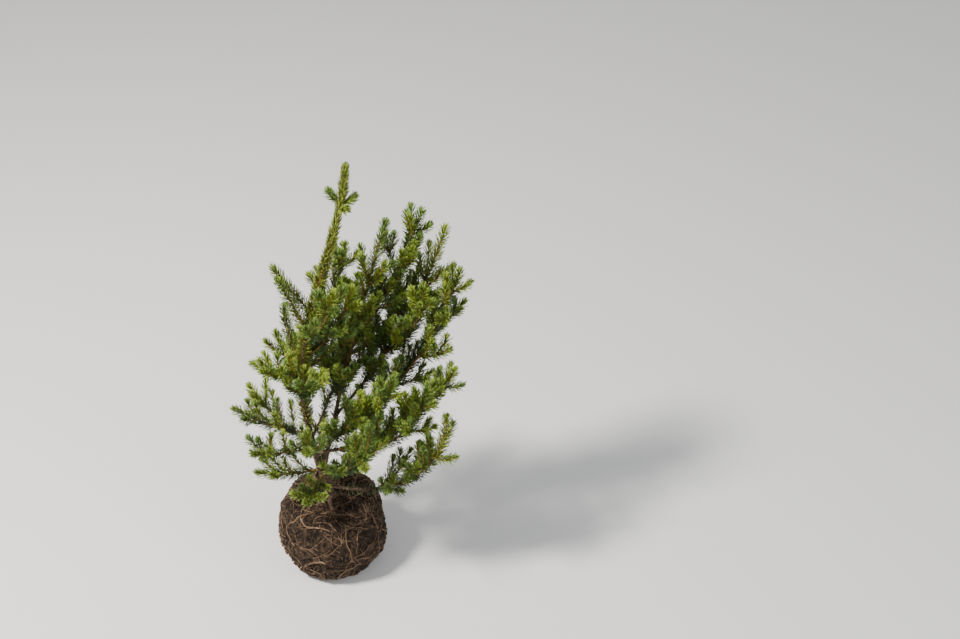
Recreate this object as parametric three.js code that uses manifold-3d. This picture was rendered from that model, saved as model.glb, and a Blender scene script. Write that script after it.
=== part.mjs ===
// A young spruce on its root ball: a sapling with one bowed leader, a second stem that forks from it low
// down, ascending branches, and needles all round every shoot. Millimetres, +Z up. The origin is the
// centre of the root ball's flat underside. Seen from the front, +X is to the right and +Y is away.
import * as THREE from "three";
import { mergeVertices } from "three/addons/utils/BufferGeometryUtils.js";
import Module from "manifold-3d";

const wasm = await Module();
wasm.setup();

// Root ball
const BALL_HEIGHT = 122;
const BALL_RADIUS = 84;
const BALL_FOOT_RADIUS = 64;
const BALL_FOOT_EDGE = [5, 4]; // the round from the flat underside to the side: in, and up
const BALL_TOP_RADIUS = 62; // where the top starts to round over
const BALL_TOP_DROP = 3; // the top falls this much from the stem to there, and half as far less steeply
const BALL_FULLNESS = 0.6; // power of the sine that bellies the side out: lower is fuller
const BALL_STEPS = 6;
const BALL_SEGMENTS = 22;
const LUMP_HEIGHT = 2.6;
const LUMPS = [
  { waves: 3, twist: 17, phase: 0, share: 0.5 },
  { waves: 5, twist: -11, phase: 1.3, share: 0.3 },
  { waves: 2, twist: 29, phase: 2.1, share: 0.5 },
]; // waves round the ball, each leaning over by one radian in "twist" mm of height

// Surface roots, which run out from the collar and dive into the soil
const ROOTS = 5;
const ROOT_REACH = 52;
const ROOT_RADIUS = 4.2;
const ROOT_RISE = 1.5; // of its centre line above the ball's top, at the collar
const ROOT_SLOPE = [2, -24]; // degrees above level, at the collar and at its tip
const ROOT_WANDER = 0.35; // radians that a root strays from even spacing
const ROOT_VARIETY = 0.16; // share that its reach varies by
const ROOT_PHASES = [2.4, 1.7]; // radians of those two waves, from one root to the next
const ROOT_SIDES = 6;
const ROOT_STEPS = 4;

// Trunk, from the collar at the top of the ball to the leader's tip
const TREE_HEIGHT = 590;
const TRUNK_FOOT_RADIUS = 5.6;
const TRUNK_TIP_RADIUS = 1.1;
const TRUNK_TAPER = 0.85; // power of the taper: under 1 keeps the stem stout for longer
const FLARE_RADIUS = 4.4; // added at the collar
const FLARE_HEIGHT = 11;
const BOW_X = 35; // the leader bows to the left by this, and back again
const BOW_SPAN = 850;
const LEAN_X = 0.0466;
const BOW_Y = 7;
const BOW_Y_SPAN = 640;
const TRUNK_SIDES = 10;
const TRUNK_STEPS = 24;
const TRUNK_EASE = 1.5;

// Branches and shoots
const LIMB_TIP_RADIUS = 0.85;
const LIMB_THICKENING = 0.0068; // foot radius gained per mm of branch
const FORK_SHARE = 0.8; // a branch is no thicker than this share of its parent where it leaves it
const BOUGH_SIDES = 6;
const BOUGH_STEP = 34;
const YEAR_GROWTH = 62; // between one ring of side shoots and the next
const TIP_SHOOT = 36; // from the last ring to the tip, as a rule
const SHOOT_RINGS = 5;
const SHOOT_SHORTEST = 22; // length of a side shoot at the branch's tip
const SHOOT_GROWTH = 0.32; // what it gains for each mm that it stands behind the tip
const SHOOT_LONGEST = 66;
const SHOOT_SPREAD = 47; // degrees between a side shoot and its branch
const SHOOT_UPTURN = 26; // degrees that it bends up by its tip
const SHOOT_SWING = 28; // degrees of chance in its place round the branch
const SHOOT_STRETCH = [0.82, 1.12]; // chance in its length
const SHOOT_SHARE = 0.42; // of its branch's length, which it isn't longer than
const UPRIGHT = 52; // a branch that rises more steeply than this has its shoots all round, in threes
const RING_TURN = 52; // degrees between one such ring and the next
const PAIR_LIFT = 17; // degrees that the shoots of a flatter branch, in pairs, stand above its sides
const CLEAR_OF_LIMBS = 7; // between a side shoot and another branch
const CLEAR_FROM = 0.3; // share of a side shoot, near its branch, that isn't tested for that
const BRANCH_SIDES = 4;
const SHOOT_SIDES = 3;

// Needles: fewer and stouter than life, because each stands for several. They are drawn out of the flat
// sides of their shoot, in rings that each turn a third of a side from the last.
const NEEDLE_LENGTH = 14;
const NEEDLE_STEP = 15.5;
const FEWEST_RINGS = 3;
const NEEDLE_SPREAD = [38, 54]; // degrees from the shoot: at its tip, and on older wood
const LEADER_SPREAD = [25, 28]; // the leader's needles lie closer to it
const SPREAD_REACH = 90; // how far behind the tip the needles are fully spread
const NEEDLE_SHORTENING = 0.15; // share lost at the tip
const NEEDLE_WIDTH = 1; // half width, for keeping clear of what is near
const BARE_FOOT = 7; // the first needles of a side shoot stand this far from its branch
const CLEAR_OF_NEEDLES = 0.5;
const BUD = 4; // the point that closes a shoot's tip

const GAP = 0.3; // between pieces that touch
const CORE_GAP = 0.45; // the same at the corners of a needled stem's core
const SMALLEST_EDGE = 0.004; // corners closer than this are one
const FIRST_SEED = 1000; // each branch has its own stream of chance
const SEED_STEP = 37;
const STREAM = { times: 1664525, plus: 1013904223, modulo: 2 ** 32, warmUp: 4 };
const LINE_STEP = 0.001; // share of a line over which its direction is taken
const STRETCH = 20; // length of the straight stretches that a line counts as when clearances are tested
const LEAST = 1e-9; // an area below this is none, as between two lines that run side by side
const RINGS_A_SIDE = 3; // rings of needles over which they turn by one side of their shoot

// Branches. "at" is how far up its parent a branch leaves it, "bearing" its compass direction from +X
// towards +Y, "rise" its slope above level at foot and tip, and "bare", where it has one, the share nearest
// its parent that has lost its needles, which is a bough of its own. "lead" is the length of its last shoot,
// ahead of its side shoots, where that isn't the usual one. Millimetres and degrees.
const BRANCHES = [
  // the second stem and the strong branches that fan out from it to the right
  {
    name: "second_stem", on: "trunk", at: 40, bearing: 31, rise: [76, 70], length: 436,
    bare: 0.32, lead: 92,
  },
  { name: "fan_back", on: "second_stem", at: 228, bearing: 26, rise: [52, 68], length: 236, bare: 0.2 },
  {
    name: "fan_middle", on: "second_stem", at: 112, bearing: 18, rise: [46, 73], length: 348,
    bare: 0.18, lead: 88,
  },
  { name: "fan_right", on: "second_stem", at: 66, bearing: 4, rise: [38, 76], length: 368, bare: 0.2 },
  { name: "fan_front", on: "fan_middle", at: 130, bearing: 335, rise: [40, 89], length: 157 },
  { name: "stem_back", on: "second_stem", at: 176, bearing: 33, rise: [26, 72], length: 161 },
  // upper ring, round the foot of the leader's long shoot
  { name: "upper_left", on: "trunk", at: 356, bearing: 166, rise: [50, 58], length: 82, lead: 82 },
  { name: "upper_left_front", on: "trunk", at: 316, bearing: 206, rise: [76, 70], length: 107, lead: 107 },
  { name: "upper_left_low", on: "trunk", at: 250, bearing: 141, rise: [60, 92], length: 103, lead: 103 },
  { name: "upper_back", on: "trunk", at: 340, bearing: 42, rise: [25, 85], length: 124 },
  { name: "upper_front", on: "trunk", at: 302, bearing: 322, rise: [44, 78], length: 131 },
  { name: "upper_right", on: "trunk", at: 266, bearing: 350, rise: [44, 76], length: 159 },
  // middle ring
  { name: "middle_left", on: "trunk", at: 226, bearing: 184, rise: [16, 40], length: 76 },
  { name: "middle_left_front", on: "trunk", at: 238, bearing: 236, rise: [30, 46], length: 96 },
  { name: "middle_front", on: "trunk", at: 205, bearing: 290, rise: [30, 60], length: 118 },
  { name: "middle_back", on: "trunk", at: 222, bearing: 66, rise: [38, 66], length: 122 },
  { name: "middle_left_back", on: "trunk", at: 212, bearing: 122, rise: [18, 46], length: 92 },
  // low ring, the widest, with the upright shoots of the front
  { name: "low_left", on: "trunk", at: 124, bearing: 188, rise: [14, 46], length: 120, bare: 0.3 },
  { name: "low_left_front", on: "trunk", at: 108, bearing: 232, rise: [10, 46], length: 130, bare: 0.3 },
  { name: "low_front", on: "trunk", at: 118, bearing: 276, rise: [14, 52], length: 126, bare: 0.3 },
  {
    name: "front_tall", on: "trunk", at: 104, bearing: 324, rise: [30, 80], length: 187,
    bare: 0.3, lead: 58,
  },
  { name: "front_wide", on: "trunk", at: 84, bearing: 350, rise: [18, 66], length: 298, bare: 0.22 },
  { name: "front_right", on: "front_wide", at: 40, bearing: 337, rise: [14, 83], length: 239 },
  {
    name: "front_low", on: "trunk", at: 66, bearing: 314, rise: [14, 86], length: 219,
    bare: 0.25, lead: 84,
  },
  { name: "front_fork", on: "front_tall", at: 84, bearing: 335, rise: [36, 76], length: 161 },
  {
    name: "front_rise", on: "trunk", at: 22, bearing: 339, rise: [2, 88], length: 315,
    bare: 0.3, lead: 88,
  },
  { name: "front_middle", on: "front_low", at: 90, bearing: 345, rise: [50, 81], length: 128, lead: 66 },
  { name: "low_back_right", on: "trunk", at: 112, bearing: 66, rise: [22, 60], length: 182, bare: 0.3 },
  { name: "low_back", on: "trunk", at: 132, bearing: 102, rise: [18, 56], length: 142, bare: 0.3 },
  { name: "low_left_back", on: "trunk", at: 98, bearing: 146, rise: [8, 46], length: 134, bare: 0.3 },
  // lowest twigs, just above the soil
  { name: "base_left", on: "trunk", at: 54, bearing: 204, rise: [0, 34], length: 100 },
  { name: "base_front", on: "trunk", at: 44, bearing: 262, rise: [-2, 36], length: 96 },
  { name: "base_right", on: "trunk", at: 36, bearing: 12, rise: [4, 40], length: 80 },
  { name: "base_back", on: "trunk", at: 46, bearing: 92, rise: [0, 34], length: 100 },
  // the four short shoots under the leader's last shoot
  { name: "top_left", on: "trunk", at: 538, bearing: 176, rise: [38, 62], length: 20 },
  { name: "top_right", on: "trunk", at: 536, bearing: 8, rise: [4, 48], length: 20 },
  { name: "top_front", on: "trunk", at: 530, bearing: 305, rise: [2, 48], length: 19 },
  { name: "top_back", on: "trunk", at: 541, bearing: 60, rise: [48, 66], length: 17 },
];

// Stretches of the trunk that still carry needles, between the rings of branches, and the last shoot
const SLEEVES = [
  { name: "leader_lowest", from: 142, to: 196 },
  { name: "leader_low", from: 280, to: 298 },
  { name: "leader_long", from: 366, to: 521 },
  { name: "leader_tip", from: 549, to: TREE_HEIGHT },
];
const SLEEVE_WALL = 1.3; // beyond the gap to the trunk
const SLEEVE_SIDES = 6;
const TIP_COVER = 4; // the last shoot closes this far over the trunk's tip

const BARK = new THREE.MeshStandardMaterial({ color: 0x6b4a2f, roughness: 0.85, metalness: 0 });
const NEEDLES = new THREE.MeshStandardMaterial({ color: 0x54782c, roughness: 0.5, metalness: 0 });
const SOIL = new THREE.MeshStandardMaterial({ color: 0x3a2a1e, roughness: 0.95, metalness: 0 });

const radians = THREE.MathUtils.degToRad;

// A repeatable stream of numbers from 0 to 1: a linear congruential generator, run in a little first.
function randomFrom(seed) {
  let state = seed;
  const next = () => {
    state = (state * STREAM.times + STREAM.plus) % STREAM.modulo;
    return state / STREAM.modulo;
  };
  for (let warm = 0; warm < STREAM.warmUp; warm++) next();
  return next;
}

// The trunk's centre line: a slow wave to the left and back, over a steady lean to the right.
class TrunkLine extends THREE.Curve {
  length = TREE_HEIGHT;
  side = new THREE.Vector3(0, 1, 0);

  getPoint(t, target = new THREE.Vector3()) {
    const height = t * TREE_HEIGHT;
    const x = LEAN_X * height - BOW_X * Math.sin((2 * Math.PI * height) / BOW_SPAN);
    const y = BOW_Y * Math.sin((2 * Math.PI * height) / BOW_Y_SPAN);
    return target.set(x, y, BALL_HEIGHT + height);
  }

  direction(t) {
    return this.getPoint(t + LINE_STEP).sub(this.getPoint(t - LINE_STEP)).normalize();
  }

  radius(t) {
    const flare = FLARE_RADIUS * Math.exp((-t * TREE_HEIGHT) / FLARE_HEIGHT);
    const taper = (TRUNK_FOOT_RADIUS - TRUNK_TIP_RADIUS) * Math.max(0, 1 - t) ** TRUNK_TAPER;
    return TRUNK_TIP_RADIUS + taper + flare;
  }
}

// A branch's or shoot's centre line: it keeps one bearing while its slope turns evenly from foot to tip,
// so it is an arc in an upright plane.
class LimbLine extends THREE.Curve {
  constructor(foot, bearing, rise, length, footRadius) {
    super();
    Object.assign(this, { foot, bearing, rise, length, footRadius });
    this.side = new THREE.Vector3(-Math.sin(bearing), Math.cos(bearing), 0);
  }

  slope(t) {
    return this.rise[0] + (this.rise[1] - this.rise[0]) * t;
  }

  getPoint(t, target = new THREE.Vector3()) {
    const turn = this.rise[1] - this.rise[0];
    const start = this.rise[0];
    const out = (this.length * (Math.sin(this.slope(t)) - Math.sin(start))) / turn;
    const up = (this.length * (Math.cos(start) - Math.cos(this.slope(t)))) / turn;
    return target
      .set(out * Math.cos(this.bearing), out * Math.sin(this.bearing), up)
      .add(this.foot);
  }

  direction(t) {
    const level = Math.cos(this.slope(t));
    return new THREE.Vector3(
      level * Math.cos(this.bearing),
      level * Math.sin(this.bearing),
      Math.sin(this.slope(t)),
    );
  }

  radius(t) {
    return LIMB_TIP_RADIUS + (this.footRadius - LIMB_TIP_RADIUS) * Math.max(0, 1 - t);
  }
}

// The direction that leaves a line at t, "spread" radians from it and turned "roll" round it.
function offshoot(line, t, spread, roll) {
  const along = line.direction(t);
  const up = new THREE.Vector3().crossVectors(along, line.side).normalize();
  const side = new THREE.Vector3().crossVectors(up, along);
  return along
    .multiplyScalar(Math.cos(spread))
    .addScaledVector(side, Math.sin(spread) * Math.cos(roll))
    .addScaledVector(up, Math.sin(spread) * Math.sin(roll));
}

// The part's geometry as a solid that can be joined and cut.
function solidOf(geometry) {
  geometry.deleteAttribute("normal");
  geometry.deleteAttribute("uv");
  const merged = mergeVertices(geometry, SMALLEST_EDGE);
  return new wasm.Manifold(
    new wasm.Mesh({
      numProp: 3,
      vertProperties: merged.attributes.position.array,
      triVerts: new Uint32Array(merged.index.array),
    }),
  );
}

// The largest body of a solid, without the scraps that a cut may leave.
function mainBody(solid) {
  return solid.decompose().sort((a, b) => b.volume() - a.volume())[0];
}

// A closed body through rings of equal count, with a flat cap on each end.
function solidThrough(rings) {
  const sides = rings[0].length;
  const faces = [];
  for (let ring = 0; ring + 1 < rings.length; ring++) {
    for (let i = 0; i < sides; i++) {
      const a = ring * sides + i;
      const b = ring * sides + ((i + 1) % sides);
      faces.push(a, b, b + sides, a, b + sides, a + sides);
    }
  }
  const last = (rings.length - 1) * sides;
  for (let i = 1; i + 1 < sides; i++) {
    faces.push(0, i + 1, i, last, last + i, last + i + 1);
  }
  const geometry = new THREE.BufferGeometry().setFromPoints(rings.flat());
  geometry.setIndex(faces);
  return solidOf(geometry);
}

// A round bar along part of a line, its radius the line's own plus "extra". An ease over 1 draws its rings
// together at its foot.
function bar(line, sides, steps, from = 0, to = 1, extra = 0, ease = 1) {
  const rings = [];
  for (let step = 0; step <= steps; step++) {
    const t = from + (to - from) * (step / steps) ** ease;
    const centre = line.getPoint(t);
    const ring = [];
    for (let i = 0; i < sides; i++) {
      const out = offshoot(line, t, Math.PI / 2, (2 * Math.PI * i) / sides);
      ring.push(centre.clone().addScaledVector(out, line.radius(t) + extra));
    }
    rings.push(ring);
  }
  return solidThrough(rings);
}

// The least distance between two straight stretches, a0 to a1 and b0 to b1.
function distanceBetween(a0, a1, b0, b1) {
  const u = a1.clone().sub(a0);
  const v = b1.clone().sub(b0);
  const w = a0.clone().sub(b0);
  const uu = u.dot(u);
  const uv = u.dot(v);
  const vv = v.dot(v);
  const uw = u.dot(w);
  const vw = v.dot(w);
  const clamp = (value) => Math.min(1, Math.max(0, value));
  const across = uu * vv - uv * uv;
  let s = across > LEAST ? clamp((uv * vw - vv * uw) / across) : 0;
  const t = clamp((uv * s + vw) / vv);
  s = clamp((uv * t - uw) / uu);
  return w.addScaledVector(u, s).addScaledVector(v, -t).length();
}

// Everything that takes up room, as straight stretches with a radius, so that what grows later keeps clear.
const taken = [];

function take(owner, from, to, radius) {
  const middle = from.clone().add(to).multiplyScalar(0.5);
  taken.push({ owner, from, to, radius, middle, half: from.distanceTo(to) / 2 });
}

function takeLine(owner, line, from, to, extra = 0) {
  const steps = Math.max(2, Math.round((line.length * (to - from)) / STRETCH));
  for (let step = 0; step < steps; step++) {
    const t0 = from + ((to - from) * step) / steps;
    const t1 = from + ((to - from) * (step + 1)) / steps;
    take(owner, line.getPoint(t0), line.getPoint(t1), line.radius(t0) + extra);
  }
}

function isClear(owners, from, to, radius, gap) {
  const middle = from.clone().add(to).multiplyScalar(0.5);
  const half = from.distanceTo(to) / 2;
  return taken.every((other) => {
    if (owners.includes(other.owner)) return true;
    const need = radius + other.radius + gap;
    if (middle.distanceTo(other.middle) > half + other.half + need) return true;
    return distanceBetween(from, to, other.from, other.to) > need;
  });
}

// The side shoots of one branch: rings of two or three, a year's growth apart, shorter towards the tip.
// One that would run too near another branch is left out.
function sideShoots(branch, line) {
  const random = randomFrom(branch.seed);
  const shoots = [];
  for (let ring = 0; ring < SHOOT_RINGS; ring++) {
    const behind = branch.lead + ring * YEAR_GROWTH;
    const longest = Math.min(SHOOT_SHORTEST + SHOOT_GROWTH * behind, SHOOT_LONGEST);
    const t = 1 - behind / line.length;
    if (t < branch.bare + BARE_FOOT / line.length) break;
    const upright = line.slope(t) > radians(UPRIGHT);
    const rolls = upright
      ? [0, 120, 240].map((turn) => turn + ring * RING_TURN)
      : [PAIR_LIFT, 180 - PAIR_LIFT];
    for (const roll of rolls) {
      const swing = (random() - 0.5) * SHOOT_SWING;
      const stretch = SHOOT_STRETCH[0] + (SHOOT_STRETCH[1] - SHOOT_STRETCH[0]) * random();
      const heading = offshoot(line, t, radians(SHOOT_SPREAD), radians(roll + swing));
      const slope = Math.asin(heading.z);
      const rise = [slope, slope + radians(SHOOT_UPTURN)];
      const length = Math.min(longest, line.length * SHOOT_SHARE) * stretch;
      const bearing = Math.atan2(heading.y, heading.x);
      const radius = LIMB_TIP_RADIUS + LIMB_THICKENING * length;
      const shoot = new LimbLine(line.getPoint(t), bearing, rise, length, radius);
      const owner = "foliage_" + branch.name;
      if (isClear([owner], shoot.getPoint(CLEAR_FROM), shoot.getPoint(1), radius, CLEAR_OF_LIMBS)) {
        takeLine(owner, shoot, 0, 1);
        shoots.push(shoot);
      }
    }
  }
  return shoots;
}

// A needled shoot along part of a line, as one closed body: a slim core, with a needle drawn out of each
// of its sides at each step and leaning forward, and a bud for a tip where the shoot ends. A needle that
// would come too near another piece is left out, and a smooth shoot has none.
function needledShoot(owners, line, place) {
  const { from, to, sides, turn, bareFoot = 0, extra = 0, closed = true, smooth = false } = place;
  const { spread = NEEDLE_SPREAD } = place;
  const steps = Math.max(FEWEST_RINGS, Math.round((line.length * (to - from)) / NEEDLE_STEP));
  const at = (ring) => from + ((to - from) * ring) / steps;
  const roll = (ring, side) => turn + ((2 * Math.PI) / sides) * (ring / RINGS_A_SIDE + side);
  const onSurface = (ring, side) => {
    const out = offshoot(line, at(ring), Math.PI / 2, roll(ring, side));
    return line.getPoint(at(ring)).addScaledVector(out, line.radius(at(ring)) + extra);
  };
  const points = [];
  const faces = [];
  for (let ring = 0; ring <= steps; ring++) {
    for (let side = 0; side < sides; side++) points.push(onSurface(ring, side));
  }
  for (let ring = 0; ring < steps; ring++) {
    const t = at(ring + 0.5);
    const age = Math.min(1, (line.length * (1 - t)) / SPREAD_REACH);
    const lean = radians(spread[0] + (spread[1] - spread[0]) * age);
    const length = NEEDLE_LENGTH * (1 - NEEDLE_SHORTENING * (1 - age)) + line.radius(t) + extra;
    const grown = !smooth && line.length * (t - from) > bareFoot;
    for (let side = 0; side < sides; side++) {
      const next = (side + 1) % sides;
      const base = [
        ring * sides + side,
        ring * sides + next,
        (ring + 1) * sides + next,
        (ring + 1) * sides + side,
      ];
      const heading = offshoot(line, t, lean, roll(ring + 0.5, side + 0.5));
      const tip = line.getPoint(t).addScaledVector(heading, length);
      const feet = [0, 0.5, 1].map((share) => onSurface(ring + share, side + 0.5));
      if (grown && feet.every((foot) => isClear(owners, foot, tip, NEEDLE_WIDTH, CLEAR_OF_NEEDLES))) {
        for (const foot of feet) take(owners[0], foot, tip, NEEDLE_WIDTH);
        points.push(tip);
        const apex = points.length - 1;
        for (let i = 0; i < 4; i++) faces.push(base[i], base[(i + 1) % 4], apex);
      } else {
        faces.push(base[0], base[1], base[2], base[0], base[2], base[3]);
      }
    }
  }
  const last = steps * sides;
  for (let i = 1; i + 1 < sides; i++) faces.push(0, i + 1, i);
  if (closed) {
    points.push(line.getPoint(to).addScaledVector(line.direction(to), BUD));
    for (let i = 0; i < sides; i++) faces.push(last + i, last + ((i + 1) % sides), points.length - 1);
  } else {
    for (let i = 1; i + 1 < sides; i++) faces.push(last, last + i, last + i + 1);
  }
  return solidOf(new THREE.BufferGeometry().setFromPoints(points).setIndex(faces));
}

// Root ball: a lumpy ball of soil, flat underneath, with the surface roots fused into its top.
function lumpAt(angle, z) {
  return LUMPS.reduce(
    (sum, { waves, twist, phase, share }) => sum + share * Math.sin(waves * angle + z / twist + phase),
    0,
  );
}

function ballProfile() {
  const [inset, lift] = BALL_FOOT_EDGE;
  const points = [new THREE.Vector2(0, 0), new THREE.Vector2(BALL_FOOT_RADIUS - inset, 0)];
  const shoulder = BALL_HEIGHT - BALL_TOP_DROP;
  const widest = Math.max(BALL_FOOT_RADIUS, BALL_TOP_RADIUS);
  for (let step = 0; step <= BALL_STEPS; step++) {
    const share = step / BALL_STEPS;
    const cone = BALL_FOOT_RADIUS + (BALL_TOP_RADIUS - BALL_FOOT_RADIUS) * share;
    const belly = (BALL_RADIUS - widest) * Math.sin(Math.PI * share) ** BALL_FULLNESS;
    points.push(new THREE.Vector2(cone + belly, lift + (shoulder - lift) * share));
  }
  points.push(new THREE.Vector2(BALL_TOP_RADIUS / 2, BALL_HEIGHT - BALL_TOP_DROP / 2));
  points.push(new THREE.Vector2(0, BALL_HEIGHT - GAP));
  return points;
}

function soilSolid() {
  const geometry = new THREE.LatheGeometry(ballProfile(), BALL_SEGMENTS).rotateX(Math.PI / 2);
  const position = geometry.attributes.position;
  for (let i = 0; i < position.count; i++) {
    const [x, y, z] = [position.getX(i), position.getY(i), position.getZ(i)];
    const radius = Math.hypot(x, y);
    const onSide = z > BALL_FOOT_EDGE[1] / 2 && radius > BALL_TOP_RADIUS / 2 + 1;
    const scale = onSide ? 1 + (LUMP_HEIGHT * lumpAt(Math.atan2(y, x), z)) / radius : 1;
    position.setXYZ(i, x * scale, y * scale, z);
  }
  return solidOf(geometry);
}

function rootSolid(index) {
  const bearing = (2 * Math.PI * index) / ROOTS + ROOT_WANDER * Math.sin(index * ROOT_PHASES[0]);
  const reach = ROOT_REACH * (1 + ROOT_VARIETY * Math.sin(index * ROOT_PHASES[1]));
  const start = new THREE.Vector3(0, 0, BALL_HEIGHT + ROOT_RISE);
  const line = new LimbLine(start, bearing, ROOT_SLOPE.map(radians), reach, ROOT_RADIUS);
  return bar(line, ROOT_SIDES, ROOT_STEPS);
}

// The trunk, or its shape made "extra" thicker and longer, with its rings closer together in the flare.
function trunkBar(extra) {
  const end = extra / TREE_HEIGHT;
  return bar(trunk, TRUNK_SIDES, TRUNK_STEPS, -end, 1 + end, extra, TRUNK_EASE);
}

// The place of a branch's needled stem on its line, past its bough if it has one.
function stemPlace(branch, line) {
  const from = branch.bare ? branch.bare + GAP / line.length : branch.fork / 2;
  return { from, to: 1, sides: BRANCH_SIDES, turn: branch.seed, bareFoot: branch.bare ? 0 : BARE_FOOT };
}

// The shape of a branch made thicker by the gap that what grows from it there keeps: of its bough, or of
// the core of its needled stem.
function fatBranch(branch, line, at) {
  if (at < branch.bare * line.length) {
    return bar(line, BOUGH_SIDES, Math.ceil(line.length / BOUGH_STEP), 0, 1, GAP);
  }
  return needledShoot([], line, { ...stemPlace(branch, line), extra: CORE_GAP, smooth: true });
}

function rootBall(fatTrunk) {
  const roots = Array.from({ length: ROOTS }, (_, index) => rootSolid(index));
  return wasm.Manifold.union([soilSolid(), ...roots]).subtract(fatTrunk);
}

// Where each line runs: the trunk, then every branch on its parent. "start" is where a branch is out of
// its parent.
const trunk = new TrunkLine();
const lines = { trunk };
for (const branch of BRANCHES) {
  branch.bare ??= 0;
  branch.lead ??= TIP_SHOOT;
  const parent = lines[branch.on];
  const fork = parent.radius(branch.at / parent.length);
  const foot = parent.getPoint(branch.at / parent.length);
  const radius = Math.min(LIMB_TIP_RADIUS + LIMB_THICKENING * branch.length, FORK_SHARE * fork);
  const rise = branch.rise.map(radians);
  lines[branch.name] = new LimbLine(foot, radians(branch.bearing), rise, branch.length, radius);
  branch.seed = FIRST_SEED + SEED_STEP * BRANCHES.indexOf(branch);
  branch.fork = fork / branch.length;
}

takeLine("trunk", trunk, 0, 1);
for (const { name, from, to } of SLEEVES) {
  takeLine("foliage_" + name, trunk, from / TREE_HEIGHT, to / TREE_HEIGHT, GAP + SLEEVE_WALL);
}
for (const branch of BRANCHES) {
  const line = lines[branch.name];
  if (branch.bare) takeLine("bough_" + branch.name, line, branch.fork, branch.bare);
  takeLine("foliage_" + branch.name, line, Math.max(branch.fork, branch.bare), 1);
}
const shoots = new Map(BRANCHES.map((branch) => [branch, sideShoots(branch, lines[branch.name])]));

const pieces = new THREE.Group();

function addPiece(name, solid, material) {
  const { numProp, vertProperties, triVerts } = solid.getMesh();
  const geometry = new THREE.BufferGeometry();
  const points = new Float32Array((vertProperties.length / numProp) * 3);
  for (let i = 0; i < points.length / 3; i++) {
    points.set(vertProperties.subarray(i * numProp, i * numProp + 3), i * 3);
  }
  geometry.setAttribute("position", new THREE.BufferAttribute(points, 3));
  geometry.setIndex(new THREE.BufferAttribute(triVerts, 1));
  geometry.computeVertexNormals();
  const mesh = new THREE.Mesh(geometry, material);
  mesh.name = name;
  pieces.add(mesh);
}

const fatTrunk = trunkBar(GAP);
addPiece("root_ball", rootBall(fatTrunk), SOIL);
addPiece("trunk", trunkBar(0), BARK);

// The sleeves of needles round the trunk, cut clear of it; the last one closes over the trunk's tip.
for (const { name, from, to } of SLEEVES) {
  const closed = to === TREE_HEIGHT;
  const end = (to + (closed ? TIP_COVER : 0)) / TREE_HEIGHT;
  const extra = GAP + SLEEVE_WALL;
  const owner = "foliage_" + name;
  const start = from / TREE_HEIGHT;
  const [sides, spread] = [SLEEVE_SIDES, LEADER_SPREAD];
  const place = { from: start, to: end, sides, turn: from, extra, closed, spread };
  addPiece(owner, needledShoot([owner, "trunk"], trunk, place).subtract(fatTrunk), NEEDLES);
}

// The branches: a bare bough where the needles have gone, then the mass of needled shoots.
for (const branch of BRANCHES) {
  const line = lines[branch.name];
  const parent = BRANCHES.find(({ name }) => name === branch.on);
  const fatParent = parent ? fatBranch(parent, lines[branch.on], branch.at) : fatTrunk;
  if (branch.bare) {
    const steps = Math.ceil((line.length * branch.bare) / BOUGH_STEP);
    const bough = bar(line, BOUGH_SIDES, steps, branch.fork / 2, branch.bare);
    addPiece("bough_" + branch.name, mainBody(bough.subtract(fatParent)), BARK);
  }
  const owner = "foliage_" + branch.name;
  const stems = [needledShoot([owner], line, stemPlace(branch, line))];
  for (const [turn, shoot] of shoots.get(branch).entries()) {
    const place = { from: 0, to: 1, sides: SHOOT_SIDES, turn, bareFoot: BARE_FOOT };
    stems.push(needledShoot([owner], shoot, place));
  }
  const mass = wasm.Manifold.union(stems);
  addPiece(owner, branch.bare ? mass : mainBody(mass.subtract(fatParent)), NEEDLES);
}

export default pieces;
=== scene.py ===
import math

import bpy
import numpy as np
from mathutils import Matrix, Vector


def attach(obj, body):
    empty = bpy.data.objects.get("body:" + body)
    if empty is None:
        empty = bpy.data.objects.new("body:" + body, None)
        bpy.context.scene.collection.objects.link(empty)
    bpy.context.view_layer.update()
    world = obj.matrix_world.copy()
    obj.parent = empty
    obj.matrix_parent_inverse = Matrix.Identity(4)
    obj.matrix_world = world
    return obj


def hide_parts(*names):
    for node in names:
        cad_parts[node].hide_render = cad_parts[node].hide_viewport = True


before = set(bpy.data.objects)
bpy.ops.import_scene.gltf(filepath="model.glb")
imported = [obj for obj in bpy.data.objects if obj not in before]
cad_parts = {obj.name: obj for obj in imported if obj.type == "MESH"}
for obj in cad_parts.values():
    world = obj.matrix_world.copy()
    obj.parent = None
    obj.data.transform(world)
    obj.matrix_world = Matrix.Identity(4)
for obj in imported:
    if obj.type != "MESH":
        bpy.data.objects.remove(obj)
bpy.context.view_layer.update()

# Soil of the root ball. A lumpy ball of dark, moist, crumbly soil, flat underneath, held together by the
# roots in it. It is one surface: the outline carried round the stem's axis, pushed out by lumps and clods,
# with painted shade darkening its hollows. Sizes are in millimetres, as the solids were drawn, up to the
# studio's section.
MM = 0.001
BALL_HEIGHT = 122
BALL_RADIUS = 84
BALL_FOOT_RADIUS = 64
BALL_FOOT_EDGE = (5, 4)  # the round from the flat underside to the side: in, and up
BALL_TOP_RADIUS = 62
BALL_TOP_DROP = 3
BALL_FULLNESS = 0.6
OUTLINE_STEPS = 41
OUTLINE_REACH = 3  # way before and after a place between which the outline's direction is taken
LUMP_HEIGHT = 2.6
LUMPS = ((3, 17, 0, 0.5), (5, -11, 1.3, 0.3), (2, 29, 2.1, 0.5))  # waves round, mm a radian, phase, share
CLODS = ((21, 2.1), (9, 1.2), (4, 0.7), (1.8, 0.35))  # size of the grain, and how far it stands out
CLOD_SEED = 11
CREVICE_CELL = 12
CREVICE_WIDTH = 0.35  # share of a cell
CREVICE_DEPTH = 1.7
CREVICE_SEED = 5
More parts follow.
